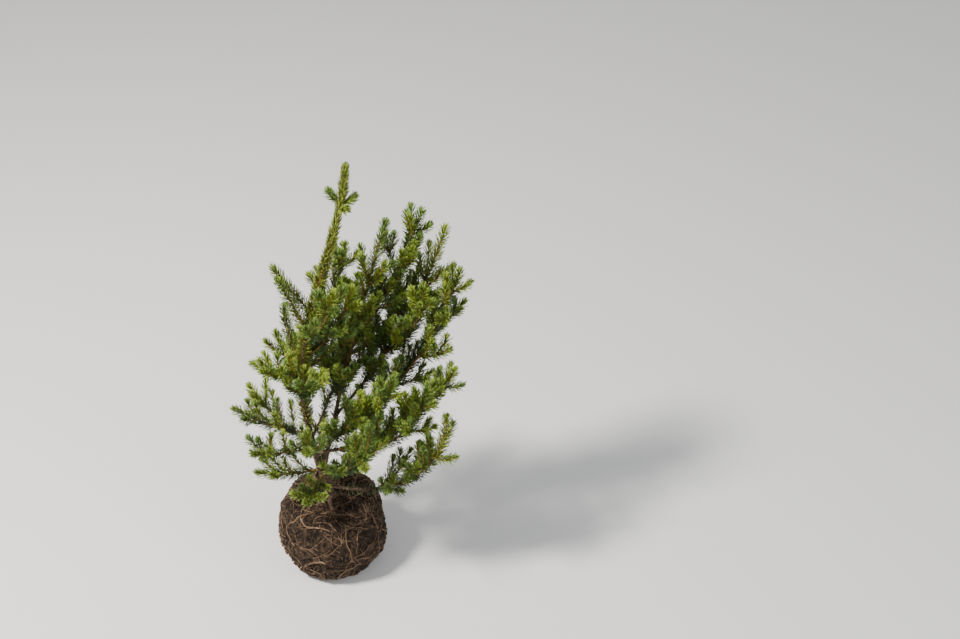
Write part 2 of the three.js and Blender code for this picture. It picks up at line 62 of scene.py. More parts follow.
SMOOTH_FOOT = 5  # height over which the relief grows from the flat underside
PAINTED_SHADE_RELIEF = (-2.6, 1.4)  # relief between which the painted shade in the soil's hollows goes from its darkest to none
COLLAR_MOUND = (2.4, 17)  # the soil is heaped up round the trunk's foot: how high, and how far out
MOUND_HEIGHTS = (60, 100)  # between which it comes in, so that the underside has none
SOIL_RINGS = 190
SOIL_UNDERSIDE_RINGS = 6
SOIL_SIDES = 300
SOIL_POLES = (2, 1)  # way from the middle of the underside to the first ring, and from the last to the stem
SOIL_COLOURS = ((0.25, (0.012, 0.007, 0.004)), (0.5, (0.045, 0.027, 0.016)), (0.75, (0.125, 0.081, 0.05)))
SOIL_PAINTED_SHADE_AND_CRUMB_TONE = 0.3  # share of their brightness that colours keep under the deepest painted shade in the hollows; each crumb darkens towards it by its own random tone
LATTICE_FACTORS = (374761393, 668265263, 2246822519, 3266489917)
LATTICE_MIX = 1274126177
LATTICE_BITS = 0xFFFFFF


def corner_value(corner, seed):
    """A repeatable value from 0 to 1 for each whole-numbered corner: its three numbers and the seed, each
    times a large odd number, are added and mixed by shifts, in 32 bits."""
    whole = corner.astype(np.int64).astype(np.uint32)
    mixed = np.uint32(seed * LATTICE_FACTORS[3] % 2**32)
    for axis in range(3):
        mixed = mixed + whole[..., axis] * np.uint32(LATTICE_FACTORS[axis])
    mixed = (mixed ^ (mixed >> np.uint32(13))) * np.uint32(LATTICE_MIX)
    return ((mixed ^ (mixed >> np.uint32(16))) & np.uint32(LATTICE_BITS)) / LATTICE_BITS


def smooth_noise(points, size, seed):
    """Noise from -1 to 1: the values at the corners of a lattice of that size, blended by 3t^2 - 2t^3
    along each axis."""
    scaled = points / size
    cell = np.floor(scaled)
    ease = (scaled - cell) ** 2 * (3 - 2 * (scaled - cell))
    total = 0
    for corner in np.ndindex(2, 2, 2):
        weight = np.prod(np.where(corner, ease, 1 - ease), axis=-1)
        total = total + weight * corner_value(cell + corner, seed)
    return 2 * total - 1


def crevice_noise(points, size, seed):
    """From 0 in the cracks to 1 inside the clods: one spot to each cell of a lattice, and the distance to
    the second nearest spot less the distance to the nearest, in cells."""
    scaled = points / size
    cell = np.floor(scaled)
    nearest = np.full(points.shape[:-1], np.inf)
    second = nearest.copy()
    for step in np.ndindex(3, 3, 3):
        corner = cell + np.array(step) - 1
        spot = corner + np.stack([corner_value(corner, seed + axis) for axis in range(3)], axis=-1)
        away = np.linalg.norm(scaled - spot, axis=-1)
        second = np.minimum(second, np.maximum(away, nearest))
        nearest = np.minimum(nearest, away)
    return np.clip(second - nearest, 0, 1)


def eased(value, low, high):
    """0 below low, 1 above high, and 3t^2 - 2t^3 in between."""
    share = np.clip((value - low) / (high - low), 0, 1)
    return share * share * (3 - 2 * share)


def ball_outline():
    """Radius and height along the ball's outline, and the way along it, from the middle of the underside
    to the stem: a cone from foot to top with a belly of sin(pi t)^fullness on it."""
    inset, lift = BALL_FOOT_EDGE
    share = np.linspace(0, 1, OUTLINE_STEPS)
    belly = (BALL_RADIUS - BALL_FOOT_RADIUS) * np.sin(np.pi * share) ** BALL_FULLNESS
    side = BALL_FOOT_RADIUS + (BALL_TOP_RADIUS - BALL_FOOT_RADIUS) * share + belly
    radius = np.concatenate([[0, BALL_FOOT_RADIUS - inset], side, [BALL_TOP_RADIUS / 2, 0]])
    shoulder = BALL_HEIGHT - BALL_TOP_DROP
    rise = lift + (shoulder - lift) * share
    height = np.concatenate([[0, 0], rise, [BALL_HEIGHT - BALL_TOP_DROP / 2, BALL_HEIGHT]])
    way = np.concatenate([[0], np.cumsum(np.hypot(np.diff(radius), np.diff(height)))])
    return radius, height, way


outline_radius, outline_height, outline_way = ball_outline()
UNDERSIDE_WAY = outline_way[1]
WHOLE_WAY = outline_way[-1]


def soil_point(turn, way):
    """Points on the soil at an angle round the stem and a way along the outline, the outward normals of the
    outline there, and a tint that is painted shade, from 0 in the hollows to 1. The soil stands out along
    the normals by its lumps and clods, less its crevices."""
    radius = np.interp(way, outline_way, outline_radius)
    height = np.interp(way, outline_way, outline_height)
    before, after = way - OUTLINE_REACH, way + OUTLINE_REACH
    outward = np.interp(after, outline_way, outline_height) - np.interp(before, outline_way, outline_height)
    upward = np.interp(before, outline_way, outline_radius) - np.interp(after, outline_way, outline_radius)
    size = np.maximum(np.hypot(outward, upward), 1e-6)
    normal = np.stack([outward * np.cos(turn), outward * np.sin(turn), upward], axis=-1) / size[..., None]
    point = np.stack([radius * np.cos(turn), radius * np.sin(turn), height], axis=-1)
    lumps = sum(part * np.sin(waves * turn + height / twist + phase) for waves, twist, phase, part in LUMPS)
    lumps = LUMP_HEIGHT * lumps * eased(radius, BALL_TOP_RADIUS / 2, BALL_TOP_RADIUS)
    relief = sum(tall * smooth_noise(point, size, CLOD_SEED + n) for n, (size, tall) in enumerate(CLODS))
    inside_clods = eased(crevice_noise(point, CREVICE_CELL, CREVICE_SEED), 0, CREVICE_WIDTH)
    relief = relief - CREVICE_DEPTH * (1 - inside_clods)
    point = point + normal * ((lumps + relief) * eased(height, 0, SMOOTH_FOOT))[..., None]
    mound = COLLAR_MOUND[0] * np.exp(-((radius / COLLAR_MOUND[1]) ** 2)) * eased(height, *MOUND_HEIGHTS)
    point[..., 2] = np.clip(point[..., 2] + mound, 0, BALL_HEIGHT + LUMP_HEIGHT + COLLAR_MOUND[0])
    return point, normal, eased(relief, *PAINTED_SHADE_RELIEF)


def grid_faces(count, rings, sides):
    """Faces of "count" closed bars. The points of each are its rings, then its first and its last pole.
    Four-cornered faces join the rings, and a fan of triangles closes each end."""
    first = np.arange(count)[:, None, None] * (rings * sides + 2)
    ring = np.arange(rings - 1)[None, :, None] * sides
    side = np.arange(sides)[None, None, :]
    beside = (side + 1) % sides
    corners = [first + ring + side, first + ring + beside]
    corners += [corners[1] + sides, corners[0] + sides]
    quads = np.stack(corners, axis=-1).reshape(-1, 4)
    last = (rings - 1) * sides
    pole = first + rings * sides + 0 * side
    start_fan = np.stack([pole, first + beside, first + side], axis=-1)
    end_fan = np.stack([first + last + side, first + last + beside, pole + 1], axis=-1)
    return quads, np.concatenate([start_fan.reshape(-1, 3), end_fan.reshape(-1, 3)])


def new_piece(name, shapes, material, stands_for):
    """One mesh object of several shapes, each of them points in millimetres, four-cornered faces, triangles
    and, if it has one, a tint for each point. It rides on the plant's one body and stands for its nodes."""
    starts = np.cumsum([0] + [len(shape[0]) for shape in shapes[:-1]])
    points = np.concatenate([shape[0] for shape in shapes])
    quads = np.concatenate([shape[1] + start for shape, start in zip(shapes, starts)])
    triangles = np.concatenate([shape[2] + start for shape, start in zip(shapes, starts)])
    corners = np.concatenate([quads.ravel(), triangles.ravel()]).astype(np.int32)
    sides = np.repeat([4, 3], [len(quads), len(triangles)])
    mesh = bpy.data.meshes.new(name)
    mesh.vertices.add(len(points))
    mesh.vertices.foreach_set("co", (points * MM).astype(np.float32).ravel())
    mesh.loops.add(len(corners))
    mesh.loops.foreach_set("vertex_index", corners)
    mesh.polygons.add(len(sides))
    mesh.polygons.foreach_set("loop_start", (np.cumsum(sides) - sides).astype(np.int32))
    if len(shapes[0]) > 3:
        tint = np.concatenate([shape[3] for shape in shapes]).astype(np.float32)
        mesh.attributes.new("tint", "FLOAT", "POINT").data.foreach_set("value", tint)
    mesh.update(calc_edges=True)
    mesh.validate()
    mesh.shade_smooth()
    mesh.materials.append(material)
    piece = bpy.data.objects.new(name, mesh)
    bpy.context.scene.collection.objects.link(piece)
    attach(piece, "root")
    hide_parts(*stands_for)


def new_material(name, roughness, specular):
    """A material of that roughness and gloss, its node tree, and its shader."""
    material = bpy.data.materials.new(name)
    material.use_nodes = True
    shader = material.node_tree.nodes["Principled BSDF"]
    shader.inputs["Roughness"].default_value = roughness
    shader.inputs["Specular IOR Level"].default_value = specular
    return material, material.node_tree, shader


def add_noise(tree, size, detail, upright=1):
    """A noise pattern with a grain of that size, and so many times as tall as it is wide."""
    place = tree.nodes.new("ShaderNodeTexCoord")
    mapping = tree.nodes.new("ShaderNodeMapping")
    mapping.inputs["Scale"].default_value = [1 / (size * MM * share) for share in (1, 1, upright)]
    noise = tree.nodes.new("ShaderNodeTexNoise")
    noise.inputs["Scale"].default_value = 1
    noise.inputs["Detail"].default_value = detail
    tree.links.new(place.outputs["Object"], mapping.inputs["Vector"])
    tree.links.new(mapping.outputs["Vector"], noise.inputs["Vector"])
    return noise.outputs["Fac"]


def add_ramp(tree, source, stops):
    """Colours for a value: each stop is a value and its colour."""
    ramp = tree.nodes.new("ShaderNodeValToRGB")
    while len(ramp.color_ramp.elements) < len(stops):
        ramp.color_ramp.elements.new(0.5)
    for element, (value, colour) in zip(ramp.color_ramp.elements, stops):
        element.position = value
        element.color = (*colour, 1)
    tree.links.new(source, ramp.inputs["Fac"])
    return ramp.outputs["Color"]


def add_mix(tree, share, first, second):
    """The first colour where the share is 0 and the second where it is 1."""
    mix = tree.nodes.new("ShaderNodeMix")
    mix.data_type = "RGBA"
    for socket, source in zip(("Factor_Float", "A_Color", "B_Color"), (share, first, second)):
        tree.links.new(source, next(i for i in mix.inputs if i.identifier == socket))
    return next(o for o in mix.outputs if o.identifier == "Result_Color")


def add_tint(tree):
    """The tint that the piece's points carry."""
    tint = tree.nodes.new("ShaderNodeAttribute")
    tint.attribute_name = "tint"
    return tint.outputs["Fac"]


def add_shaded(tree, pattern, colours, shade):
    """The pattern's colours where the piece's tint is 1, and a share of their brightness where it is 0."""
    dark = [(value, tuple(shade * part for part in colour)) for value, colour in colours]
    pair = [add_ramp(tree, pattern, stops) for stops in (dark, colours)]
    return add_mix(tree, add_tint(tree), *pair)


def add_bump(tree, shader, source, height):
    """Fine relief of that height, from a pattern."""
    bump = tree.nodes.new("ShaderNodeBump")
    bump.inputs["Distance"].default_value = height * MM
    bump.inputs["Strength"].default_value = 1
    tree.links.new(source, bump.inputs["Height"])
    tree.links.new(bump.outputs["Normal"], shader.inputs["Normal"])


soil_material, soil_tree, soil_shader = new_material("moist_soil", roughness=0.92, specular=0.25)
soil_pattern = add_noise(soil_tree, size=5, detail=8)
# Painted shade darkens the soil's hollows through its tint; on the crumbs the tint is instead each one's own
# random tone.
soil_colour = add_shaded(soil_tree, soil_pattern, SOIL_COLOURS, SOIL_PAINTED_SHADE_AND_CRUMB_TONE)
soil_tree.links.new(soil_colour, soil_shader.inputs["Base Color"])
add_bump(soil_tree, soil_shader, add_noise(soil_tree, size=1.1, detail=8), height=0.9)

soil_way = np.concatenate([
    np.linspace(SOIL_POLES[0], UNDERSIDE_WAY, SOIL_UNDERSIDE_RINGS, endpoint=False),
    np.linspace(UNDERSIDE_WAY, WHOLE_WAY - SOIL_POLES[1], SOIL_RINGS),
])
soil_turn = np.linspace(0, 2 * np.pi, SOIL_SIDES, endpoint=False)
# The tint that soil_point gives here is painted shade, darkest in the hollows of the soil's relief.
soil_points, _, soil_painted_shade = soil_point(*np.meshgrid(soil_turn, soil_way))
soil_poles = np.array([[0, 0, 0], [0, 0, BALL_HEIGHT]])
soil_shape = (
    np.concatenate([soil_points.reshape(-1, 3), soil_poles]),
    *grid_faces(1, len(soil_way), SOIL_SIDES),
    np.append(soil_painted_shade, [1, 1]),
)
new_piece("root_ball_soil", [soil_shape], soil_material, ["root_ball"])

# Crumbs of soil. Small loose-looking clods stick all over the ball's side and top, some darker than others.
# Each is a blunt twenty-sided lump, stretched and turned its own way and sunk nearly by half into the soil.
CRUMBS = 6400
CRUMB_MARGINS = (12, 10)  # way that they keep clear of the underside, and of the stem
CRUMB_TOPWARD = 0.8  # under 1 draws them to the top
CRUMB_SIZES = (0.5, 2.6)  # radius of the smallest and the largest
CRUMB_SMALLNESS = 2  # over 1 makes more of them small
CRUMB_ROUGHNESS = 0.28
CRUMB_FLATNESS = (0.65, 1)
CRUMB_STAND_OUT = 0.2  # share of its radius by which a crumb's middle stands out of the soil
CRUMB_TINTS = (0.15, 1)
SOIL_SEED = 41

GOLDEN = (1 + math.sqrt(5)) / 2
corner_signs = np.array([(a, b) for a in (-1, 1) for b in (-GOLDEN, GOLDEN)])
flat_corners = np.insert(corner_signs, 0, 0, axis=1)
icosahedron = np.concatenate([np.roll(flat_corners, shift, axis=1) for shift in range(3)])
icosahedron = icosahedron / np.linalg.norm(icosahedron[0])


def hull_triangles(corners):
    """The outward faces of the regular solid with those corners: each three that are nearest neighbours,
    in the order that makes their normal point away from the middle."""
    apart = np.linalg.norm(corners[:, None] - corners[None], axis=-1)
    edge = 1.01 * apart[apart > 0].min()
    faces = []
    for a, b, c in np.ndindex(len(corners), len(corners), len(corners)):
        if a < b and a < c and b != c and max(apart[a, b], apart[b, c], apart[a, c]) < edge:
            if np.cross(corners[b] - corners[a], corners[c] - corners[a]) @ corners[a] > 0:
                faces.append((a, b, c))
    return np.array(faces)


def random_turns(count, chance):
    """Rotation matrices, evenly spread: each from a random unit quaternion."""
    turns = chance.normal(size=(count, 4))
    w, x, y, z = (turns / np.linalg.norm(turns, axis=1, keepdims=True)).T
    rows = [
        [1 - 2 * (y * y + z * z), 2 * (x * y - z * w), 2 * (x * z + y * w)],
        [2 * (x * y + z * w), 1 - 2 * (x * x + z * z), 2 * (y * z - x * w)],
        [2 * (x * z - y * w), 2 * (y * z + x * w), 1 - 2 * (x * x + y * y)],
    ]
    return np.moveaxis(np.array(rows), 2, 0)


chance = np.random.default_rng(SOIL_SEED)
crumb_turn = chance.uniform(0, 2 * np.pi, CRUMBS)
crumb_span = WHOLE_WAY - UNDERSIDE_WAY - sum(CRUMB_MARGINS)
crumb_way = UNDERSIDE_WAY + CRUMB_MARGINS[0] + crumb_span * chance.uniform(0, 1, CRUMBS) ** CRUMB_TOPWARD
crumb_middle, crumb_normal, _ = soil_point(crumb_turn, crumb_way)
crumb_growth = chance.uniform(0, 1, CRUMBS) ** CRUMB_SMALLNESS
crumb_size = CRUMB_SIZES[0] * (CRUMB_SIZES[1] / CRUMB_SIZES[0]) ** crumb_growth[:, None]
corners = len(icosahedron)
crumb_points = icosahedron * chance.uniform(1 - CRUMB_ROUGHNESS, 1 + CRUMB_ROUGHNESS, (CRUMBS, corners, 1))
crumb_points = crumb_points * chance.uniform(*CRUMB_FLATNESS, (CRUMBS, 1, 3))
crumb_points = np.einsum("nij,nkj->nki", random_turns(CRUMBS, chance), crumb_points) * crumb_size[:, None]
crumb_points = crumb_points + (crumb_middle + crumb_normal * CRUMB_STAND_OUT * crumb_size)[:, None]
crumb_triangles = hull_triangles(icosahedron) + corners * np.arange(CRUMBS)[:, None, None]
crumb_shape = (
    crumb_points.reshape(-1, 3),
    np.zeros((0, 4), int),
    crumb_triangles.reshape(-1, 3),
    np.repeat(chance.uniform(*CRUMB_TINTS, CRUMBS), corners),
)
new_piece("root_ball_crumbs", [crumb_shape], soil_material, ["root_ball"])

# Fine roots. A net of pale-brown roots wanders over the ball and in and out of the soil, with a few woody
# ones among them. Each is a tapering bar along its path.
FINE_ROOTS = 260
FINE_ROOT_STEPS = 46
FINE_ROOT_STEP = 2.6
FINE_ROOT_SIDES = 6
FINE_ROOT_RADII = (0.28, 0.75)
FINE_ROOT_TAPER = 0.45  # share of its thickness that a root ends with
FINE_ROOT_WANDER = 0.19  # radians that its heading changes by at a step
FINE_ROOT_MARGIN = 14  # way that its start keeps clear of the underside, and of the stem
FINE_ROOT_EDGES = (4, 6)  # way that the rest of it does
TIGHTEST_ROUND = 12  # radius round the stem within which it turns no faster
FINE_ROOT_DIP = 1.3  # how far it rises out of the soil, and dips into it
FINE_ROOT_DIP_TURNS = 9  # radians of that wave along a root
FINE_ROOT_PHASES = 6  # radians of it within which a root starts
FINE_ROOT_SINK = 0.2
FLOOR_GAP = 0.3  # least gap between a root and the floor
SMOOTHING = (0.25, 0.5, 0.25)  # of its path, over three steps
WOODY_SHARE = 0.1  # of them, which are this much thicker
WOODY_THICKENING = 2.1
FINE_ROOT_COLOURS = ((0.25, (0.07, 0.042, 0.024)), (0.55, (0.19, 0.115, 0.065)), (0.8, (0.36, 0.25, 0.15)))


def unit(vectors):
    """The same directions with a length of one."""
    return vectors / np.maximum(np.linalg.norm(vectors, axis=-1, keepdims=True), 1e-9)


def swept(centres, across, radii, poles):
    """Closed bars, many at once. Each follows its row of centres, and its corner number k of n stands at
    centre + radius (cos(2 pi k / n) across + sin(2 pi k / n) up), where up is along x across. The two poles
    close its ends."""
    count, rings, sides = radii.shape
    along = unit(np.gradient(centres, axis=1))
    across = unit(across - np.sum(across * along, axis=-1, keepdims=True) * along)
    up = np.cross(along, across)
    angle = 2 * np.pi * np.arange(sides) / sides
    out = np.cos(angle)[:, None] * across[..., None, :] + np.sin(angle)[:, None] * up[..., None, :]
    points = centres[..., None, :] + radii[..., None] * out
    points = np.concatenate([points.reshape(count, rings * sides, 3), poles], axis=1)
    return (points.reshape(-1, 3), *grid_faces(count, rings, sides))


def round_bars(centres, across, radius, sides):
    """Bars with a round section, whose ends are rounded off by half a radius."""
    ahead = unit(centres[:, [1, -1]] - centres[:, [0, -2]])
    poles = centres[:, [0, -1]] + np.array([[-0.5], [0.5]]) * radius[:, [0, -1], None] * ahead
    return swept(centres, across, np.repeat(radius[..., None], sides, axis=-1), poles)


root_heading = chance.uniform(0, 2 * np.pi, (FINE_ROOTS, 1))
root_bends = chance.normal(0, FINE_ROOT_WANDER, (FINE_ROOTS, FINE_ROOT_STEPS))
root_heading = root_heading + np.cumsum(root_bends, axis=1)
root_way = chance.uniform(UNDERSIDE_WAY + FINE_ROOT_MARGIN, WHOLE_WAY - FINE_ROOT_MARGIN, (FINE_ROOTS, 1))
root_way = root_way + np.cumsum(np.sin(root_heading) * FINE_ROOT_STEP, axis=1)
root_way = np.clip(root_way, UNDERSIDE_WAY + FINE_ROOT_EDGES[0], WHOLE_WAY - FINE_ROOT_EDGES[1])
root_turn = chance.uniform(0, 2 * np.pi, (FINE_ROOTS, 1))
way_round = np.maximum(np.interp(root_way, outline_way, outline_radius), TIGHTEST_ROUND)
root_turn = root_turn + np.cumsum(np.cos(root_heading) * FINE_ROOT_STEP / way_round, axis=1)
root_radius = chance.uniform(*FINE_ROOT_RADII, FINE_ROOTS)
root_radius = root_radius * np.where(np.arange(FINE_ROOTS) < WOODY_SHARE * FINE_ROOTS, WOODY_THICKENING, 1)
root_radius = root_radius[:, None] * np.linspace(1, FINE_ROOT_TAPER, FINE_ROOT_STEPS)
root_path, root_normal, _ = soil_point(root_turn, root_way)
inner = FINE_ROOT_STEPS - 2
root_path[:, 1:-1] = sum(share * root_path[:, step : step + inner] for step, share in enumerate(SMOOTHING))
root_phase = chance.uniform(0, FINE_ROOT_PHASES, (FINE_ROOTS, 1))
root_wave = np.linspace(0, FINE_ROOT_DIP_TURNS, FINE_ROOT_STEPS) + root_phase
root_lift = root_radius / 2 + FINE_ROOT_DIP * np.sin(root_wave) - FINE_ROOT_SINK
root_path = root_path + root_normal * root_lift[..., None]
root_path[..., 2] = np.maximum(root_path[..., 2], root_radius + FLOOR_GAP)
fine_roots = round_bars(root_path, root_normal, root_radius, FINE_ROOT_SIDES)

root_material, root_tree, root_shader = new_material("root_bark", roughness=0.8, specular=0.3)
root_pattern = add_noise(root_tree, size=7, detail=5)
root_tree.links.new(add_ramp(root_tree, root_pattern, FINE_ROOT_COLOURS), root_shader.inputs["Base Color"])
add_bump(root_tree, root_shader, add_noise(root_tree, size=0.9, detail=4), height=0.2)
new_piece("root_ball_fine_roots", [fine_roots], root_material, ["root_ball"])

# Trunk. The leader of a young spruce: it bows to the left and back as it rises, tapers from a flared foot to
# a slim tip, and swells where each ring of branches leaves it. Its bark is grey-brown at the foot, in flakes
# with painted shade in the cracks between them, and orange-brown above, with the ridged cushions that
# needles stand on and painted shade between the lower ones.
TREE_HEIGHT = 590
TRUNK_FOOT_RADIUS = 5.6
TRUNK_TIP_RADIUS = 1.1
TRUNK_TAPER = 0.85
FLARE_RADIUS = 4.4
FLARE_HEIGHT = 11
BOW_X = 35
BOW_SPAN = 850
LEAN_X = 0.0466
BOW_Y = 7
BOW_Y_SPAN = 640
TRUNK_DEPTH = 5  # how far it goes on down into the soil
TRUNK_RINGS = 700
TRUNK_RINGS_EASE = 1.5  # over 1 draws them together at the foot
TRUNK_SIDES = 56
TRUNK_RELIEF = (1, 0.2)  # share of the bark's relief, and how far the wood is drawn in to make room for it
RING_SWELLINGS = ((112, 14), (222, 12), (336, 18), (536, 6))  # height of a ring of branches, and its spread
SWELLING = 0.09  # share of the radius
CUSHION_ROWS = (8, 5)  # helical rows of needle cushions one way round, and the other
CUSHION_PITCH = 1.9  # mm of height a radian
CUSHION_SLANT = 1.6  # how many times steeper the other way's rows are
CUSHION_HEIGHT = 0.17
FLAKE_SIZE = 3.4
FLAKE_STRETCH = 1.6  # how many times as tall as they are wide
FLAKE_HEIGHT = 0.5
FLAKE_SEED = 71
CRACK_WIDTH = 0.3  # share of a flake
BARK_PAINTED_SHADE = 0.32  # share of their brightness that colours keep under the painted shade in the cracks and between the cushions
SMOOTH_FROM = (120, 260)  # heights between which flakes give way to cushions
BARK_SWELLS = (9, 0.25)  # size of the slow swells under the bark's relief, and how far they stand out
BARK_SWELL_SEED = 73
YOUNG_BARK_HEIGHTS = (260, 500)  # heights between which the bark turns from grey-brown to orange-brown
BARK_COLOURS = ((0.3, (0.062, 0.036, 0.021)), (0.5, (0.145, 0.088, 0.052)), (0.72, (0.27, 0.185, 0.125)))
YOUNG_BARK_COLOURS = ((0.3, (0.18, 0.088, 0.022)), (0.52, (0.34, 0.185, 0.05)), (0.75, (0.50, 0.31, 0.10)))


def trunk_run(height):
    """The trunk's centre at a height above the collar, its direction, a direction across it, and its radius:
    a slow wave over a steady lean, and a power of the height left plus a flare of e^(-h / flare height)."""
    x = LEAN_X * height - BOW_X * np.sin(2 * np.pi * height / BOW_SPAN)
    y = BOW_Y * np.sin(2 * np.pi * height / BOW_Y_SPAN)
    centre = np.stack([x, y, BALL_HEIGHT + height], axis=-1)
    across_x = LEAN_X - BOW_X * 2 * np.pi / BOW_SPAN * np.cos(2 * np.pi * height / BOW_SPAN)
    across_y = BOW_Y * 2 * np.pi / BOW_Y_SPAN * np.cos(2 * np.pi * height / BOW_Y_SPAN)
    along = unit(np.stack([across_x, across_y, np.ones_like(height)], axis=-1))
    up = unit(np.cross(along, [0.0, 1.0, 0.0]))
    taper = (TRUNK_FOOT_RADIUS - TRUNK_TIP_RADIUS) * np.clip(1 - height / TREE_HEIGHT, 0, 1) ** TRUNK_TAPER
    radius = TRUNK_TIP_RADIUS + taper + FLARE_RADIUS * np.exp(-np.maximum(height, 0) / FLARE_HEIGHT)
    return centre, along, np.cross(up, along), radius


def bark_relief(turn, height, points):
    """How far the bark stands out, and its tint, a painted shade from 0 in the cracks and between the
    cushions
    to 1: flakes edged by cracks low down, above them cushions in two sets of helical rows, the root of
    |sin a| |sin b|, and slow swells in both."""
    flake = FLAKE_SIZE * np.array([1, 1, FLAKE_STRETCH])
    flakes = eased(crevice_noise(points, flake, FLAKE_SEED), 0, CRACK_WIDTH)
    one_way = (CUSHION_ROWS[0] * turn + height / CUSHION_PITCH) / 2
    other_way = (CUSHION_ROWS[1] * turn - CUSHION_SLANT * height / CUSHION_PITCH) / 2
    cushions = np.sqrt(np.abs(np.sin(one_way) * np.sin(other_way)))
    smoothness = eased(height, *SMOOTH_FROM)
    relief = (1 - smoothness) * FLAKE_HEIGHT * flakes + smoothness * CUSHION_HEIGHT * cushions
    swells = BARK_SWELLS[1] * smooth_noise(points, BARK_SWELLS[0], BARK_SWELL_SEED)
    return relief + swells, (1 - smoothness) * flakes + smoothness * cushions


def offshoot(along, across, spread, roll):
    """The direction that leaves a line "spread" radians from it, turned "roll" round it from across."""
    up = unit(np.cross(along, across))
    across = np.cross(up, along)
    spread, roll = np.asarray(spread)[..., None], np.asarray(roll)[..., None]
    return np.cos(spread) * along + np.sin(spread) * (np.cos(roll) * across + np.sin(roll) * up)


def bark_bar(run, height, sides, relief_share, drawn_in, girth=1):
    """A limb's bark as one closed bar, with its tint, the painted shade in its cracks. The run is the limb's
    centre, directions and radius, the height is where on the trunk its bark would be, and the relief lies on
    the radius times the girth, drawn in."""
    centre, along, across, radius = run
    turn = 2 * np.pi * np.arange(sides) / sides
    out = offshoot(along[:, None], across[:, None], np.pi / 2, turn)
    skin = centre[:, None] + out * radius[:, None, None]
    relief, tint = bark_relief(turn, height[:, None], skin)
    radii = radius[:, None] * girth + relief_share * relief - drawn_in
    bar = swept(centre[None], across[None], radii[None], centre[None][:, [0, -1]])
    return (*bar, np.append(tint, [1, 1]))


trunk_height = TREE_HEIGHT * np.linspace(0, 1, TRUNK_RINGS) ** TRUNK_RINGS_EASE
trunk_height = np.concatenate([[-TRUNK_DEPTH, -TRUNK_DEPTH / 2], trunk_height])
trunk_centre, trunk_along, trunk_across, trunk_radius = trunk_run(trunk_height)
for ring_height, ring_spread in RING_SWELLINGS:
    ring = np.exp(-(((trunk_height - ring_height) / ring_spread) ** 2))
    trunk_radius = trunk_radius * (1 + SWELLING * ring)
swollen_trunk = (trunk_centre, trunk_along, trunk_across, trunk_radius)
# The trunk's tint is painted shade in the cracks between its flakes and between its lower cushions.
trunk_shape = bark_bar(swollen_trunk, trunk_height, TRUNK_SIDES, *TRUNK_RELIEF)


def bark_material(name, colours, roughness, crack_shade_painted=False, young_colours=None):
    """Bark: mottled lengthwise in three tones, with fine fibrous relief. One with painted crack shade has
    painted shade in its cracks and between its cushions, and young colours, if it has them, take over with
    height."""
    material, tree, shader = new_material(name, roughness, specular=0.35)
    pattern = add_noise(tree, size=4, detail=7, upright=2.2)
    if crack_shade_painted:
        colour = add_shaded(tree, pattern, colours, BARK_PAINTED_SHADE)
    else:
        colour = add_ramp(tree, pattern, colours)
    if young_colours:
        place = tree.nodes.new("ShaderNodeTexCoord")
        split = tree.nodes.new("ShaderNodeSeparateXYZ")
        height = tree.nodes.new("ShaderNodeMapRange")
        height.inputs["From Min"].default_value = (BALL_HEIGHT + YOUNG_BARK_HEIGHTS[0]) * MM
        height.inputs["From Max"].default_value = (BALL_HEIGHT + YOUNG_BARK_HEIGHTS[1]) * MM
        tree.links.new(place.outputs["Object"], split.inputs["Vector"])
        tree.links.new(split.outputs["Z"], height.inputs["Value"])
        colour = add_mix(tree, height.outputs["Result"], colour, add_ramp(tree, pattern, young_colours))
    tree.links.new(colour, shader.inputs["Base Color"])
    add_bump(tree, shader, add_noise(tree, size=0.8, detail=6, upright=3), height=0.4)
    return material


# Grey-brown bark with painted shade in its cracks and between its cushions, for the boughs and the collar
# roots.
old_bark = bark_material("grey_brown_bark", BARK_COLOURS, roughness=0.8, crack_shade_painted=True)
young_bark = bark_material("orange_brown_bark", YOUNG_BARK_COLOURS, roughness=0.6)
trunk_bark = bark_material(
    "trunk_bark", BARK_COLOURS, roughness=0.75, crack_shade_painted=True, young_colours=YOUNG_BARK_COLOURS
)
new_piece("trunk_bark", [trunk_shape], trunk_bark, ["trunk"])

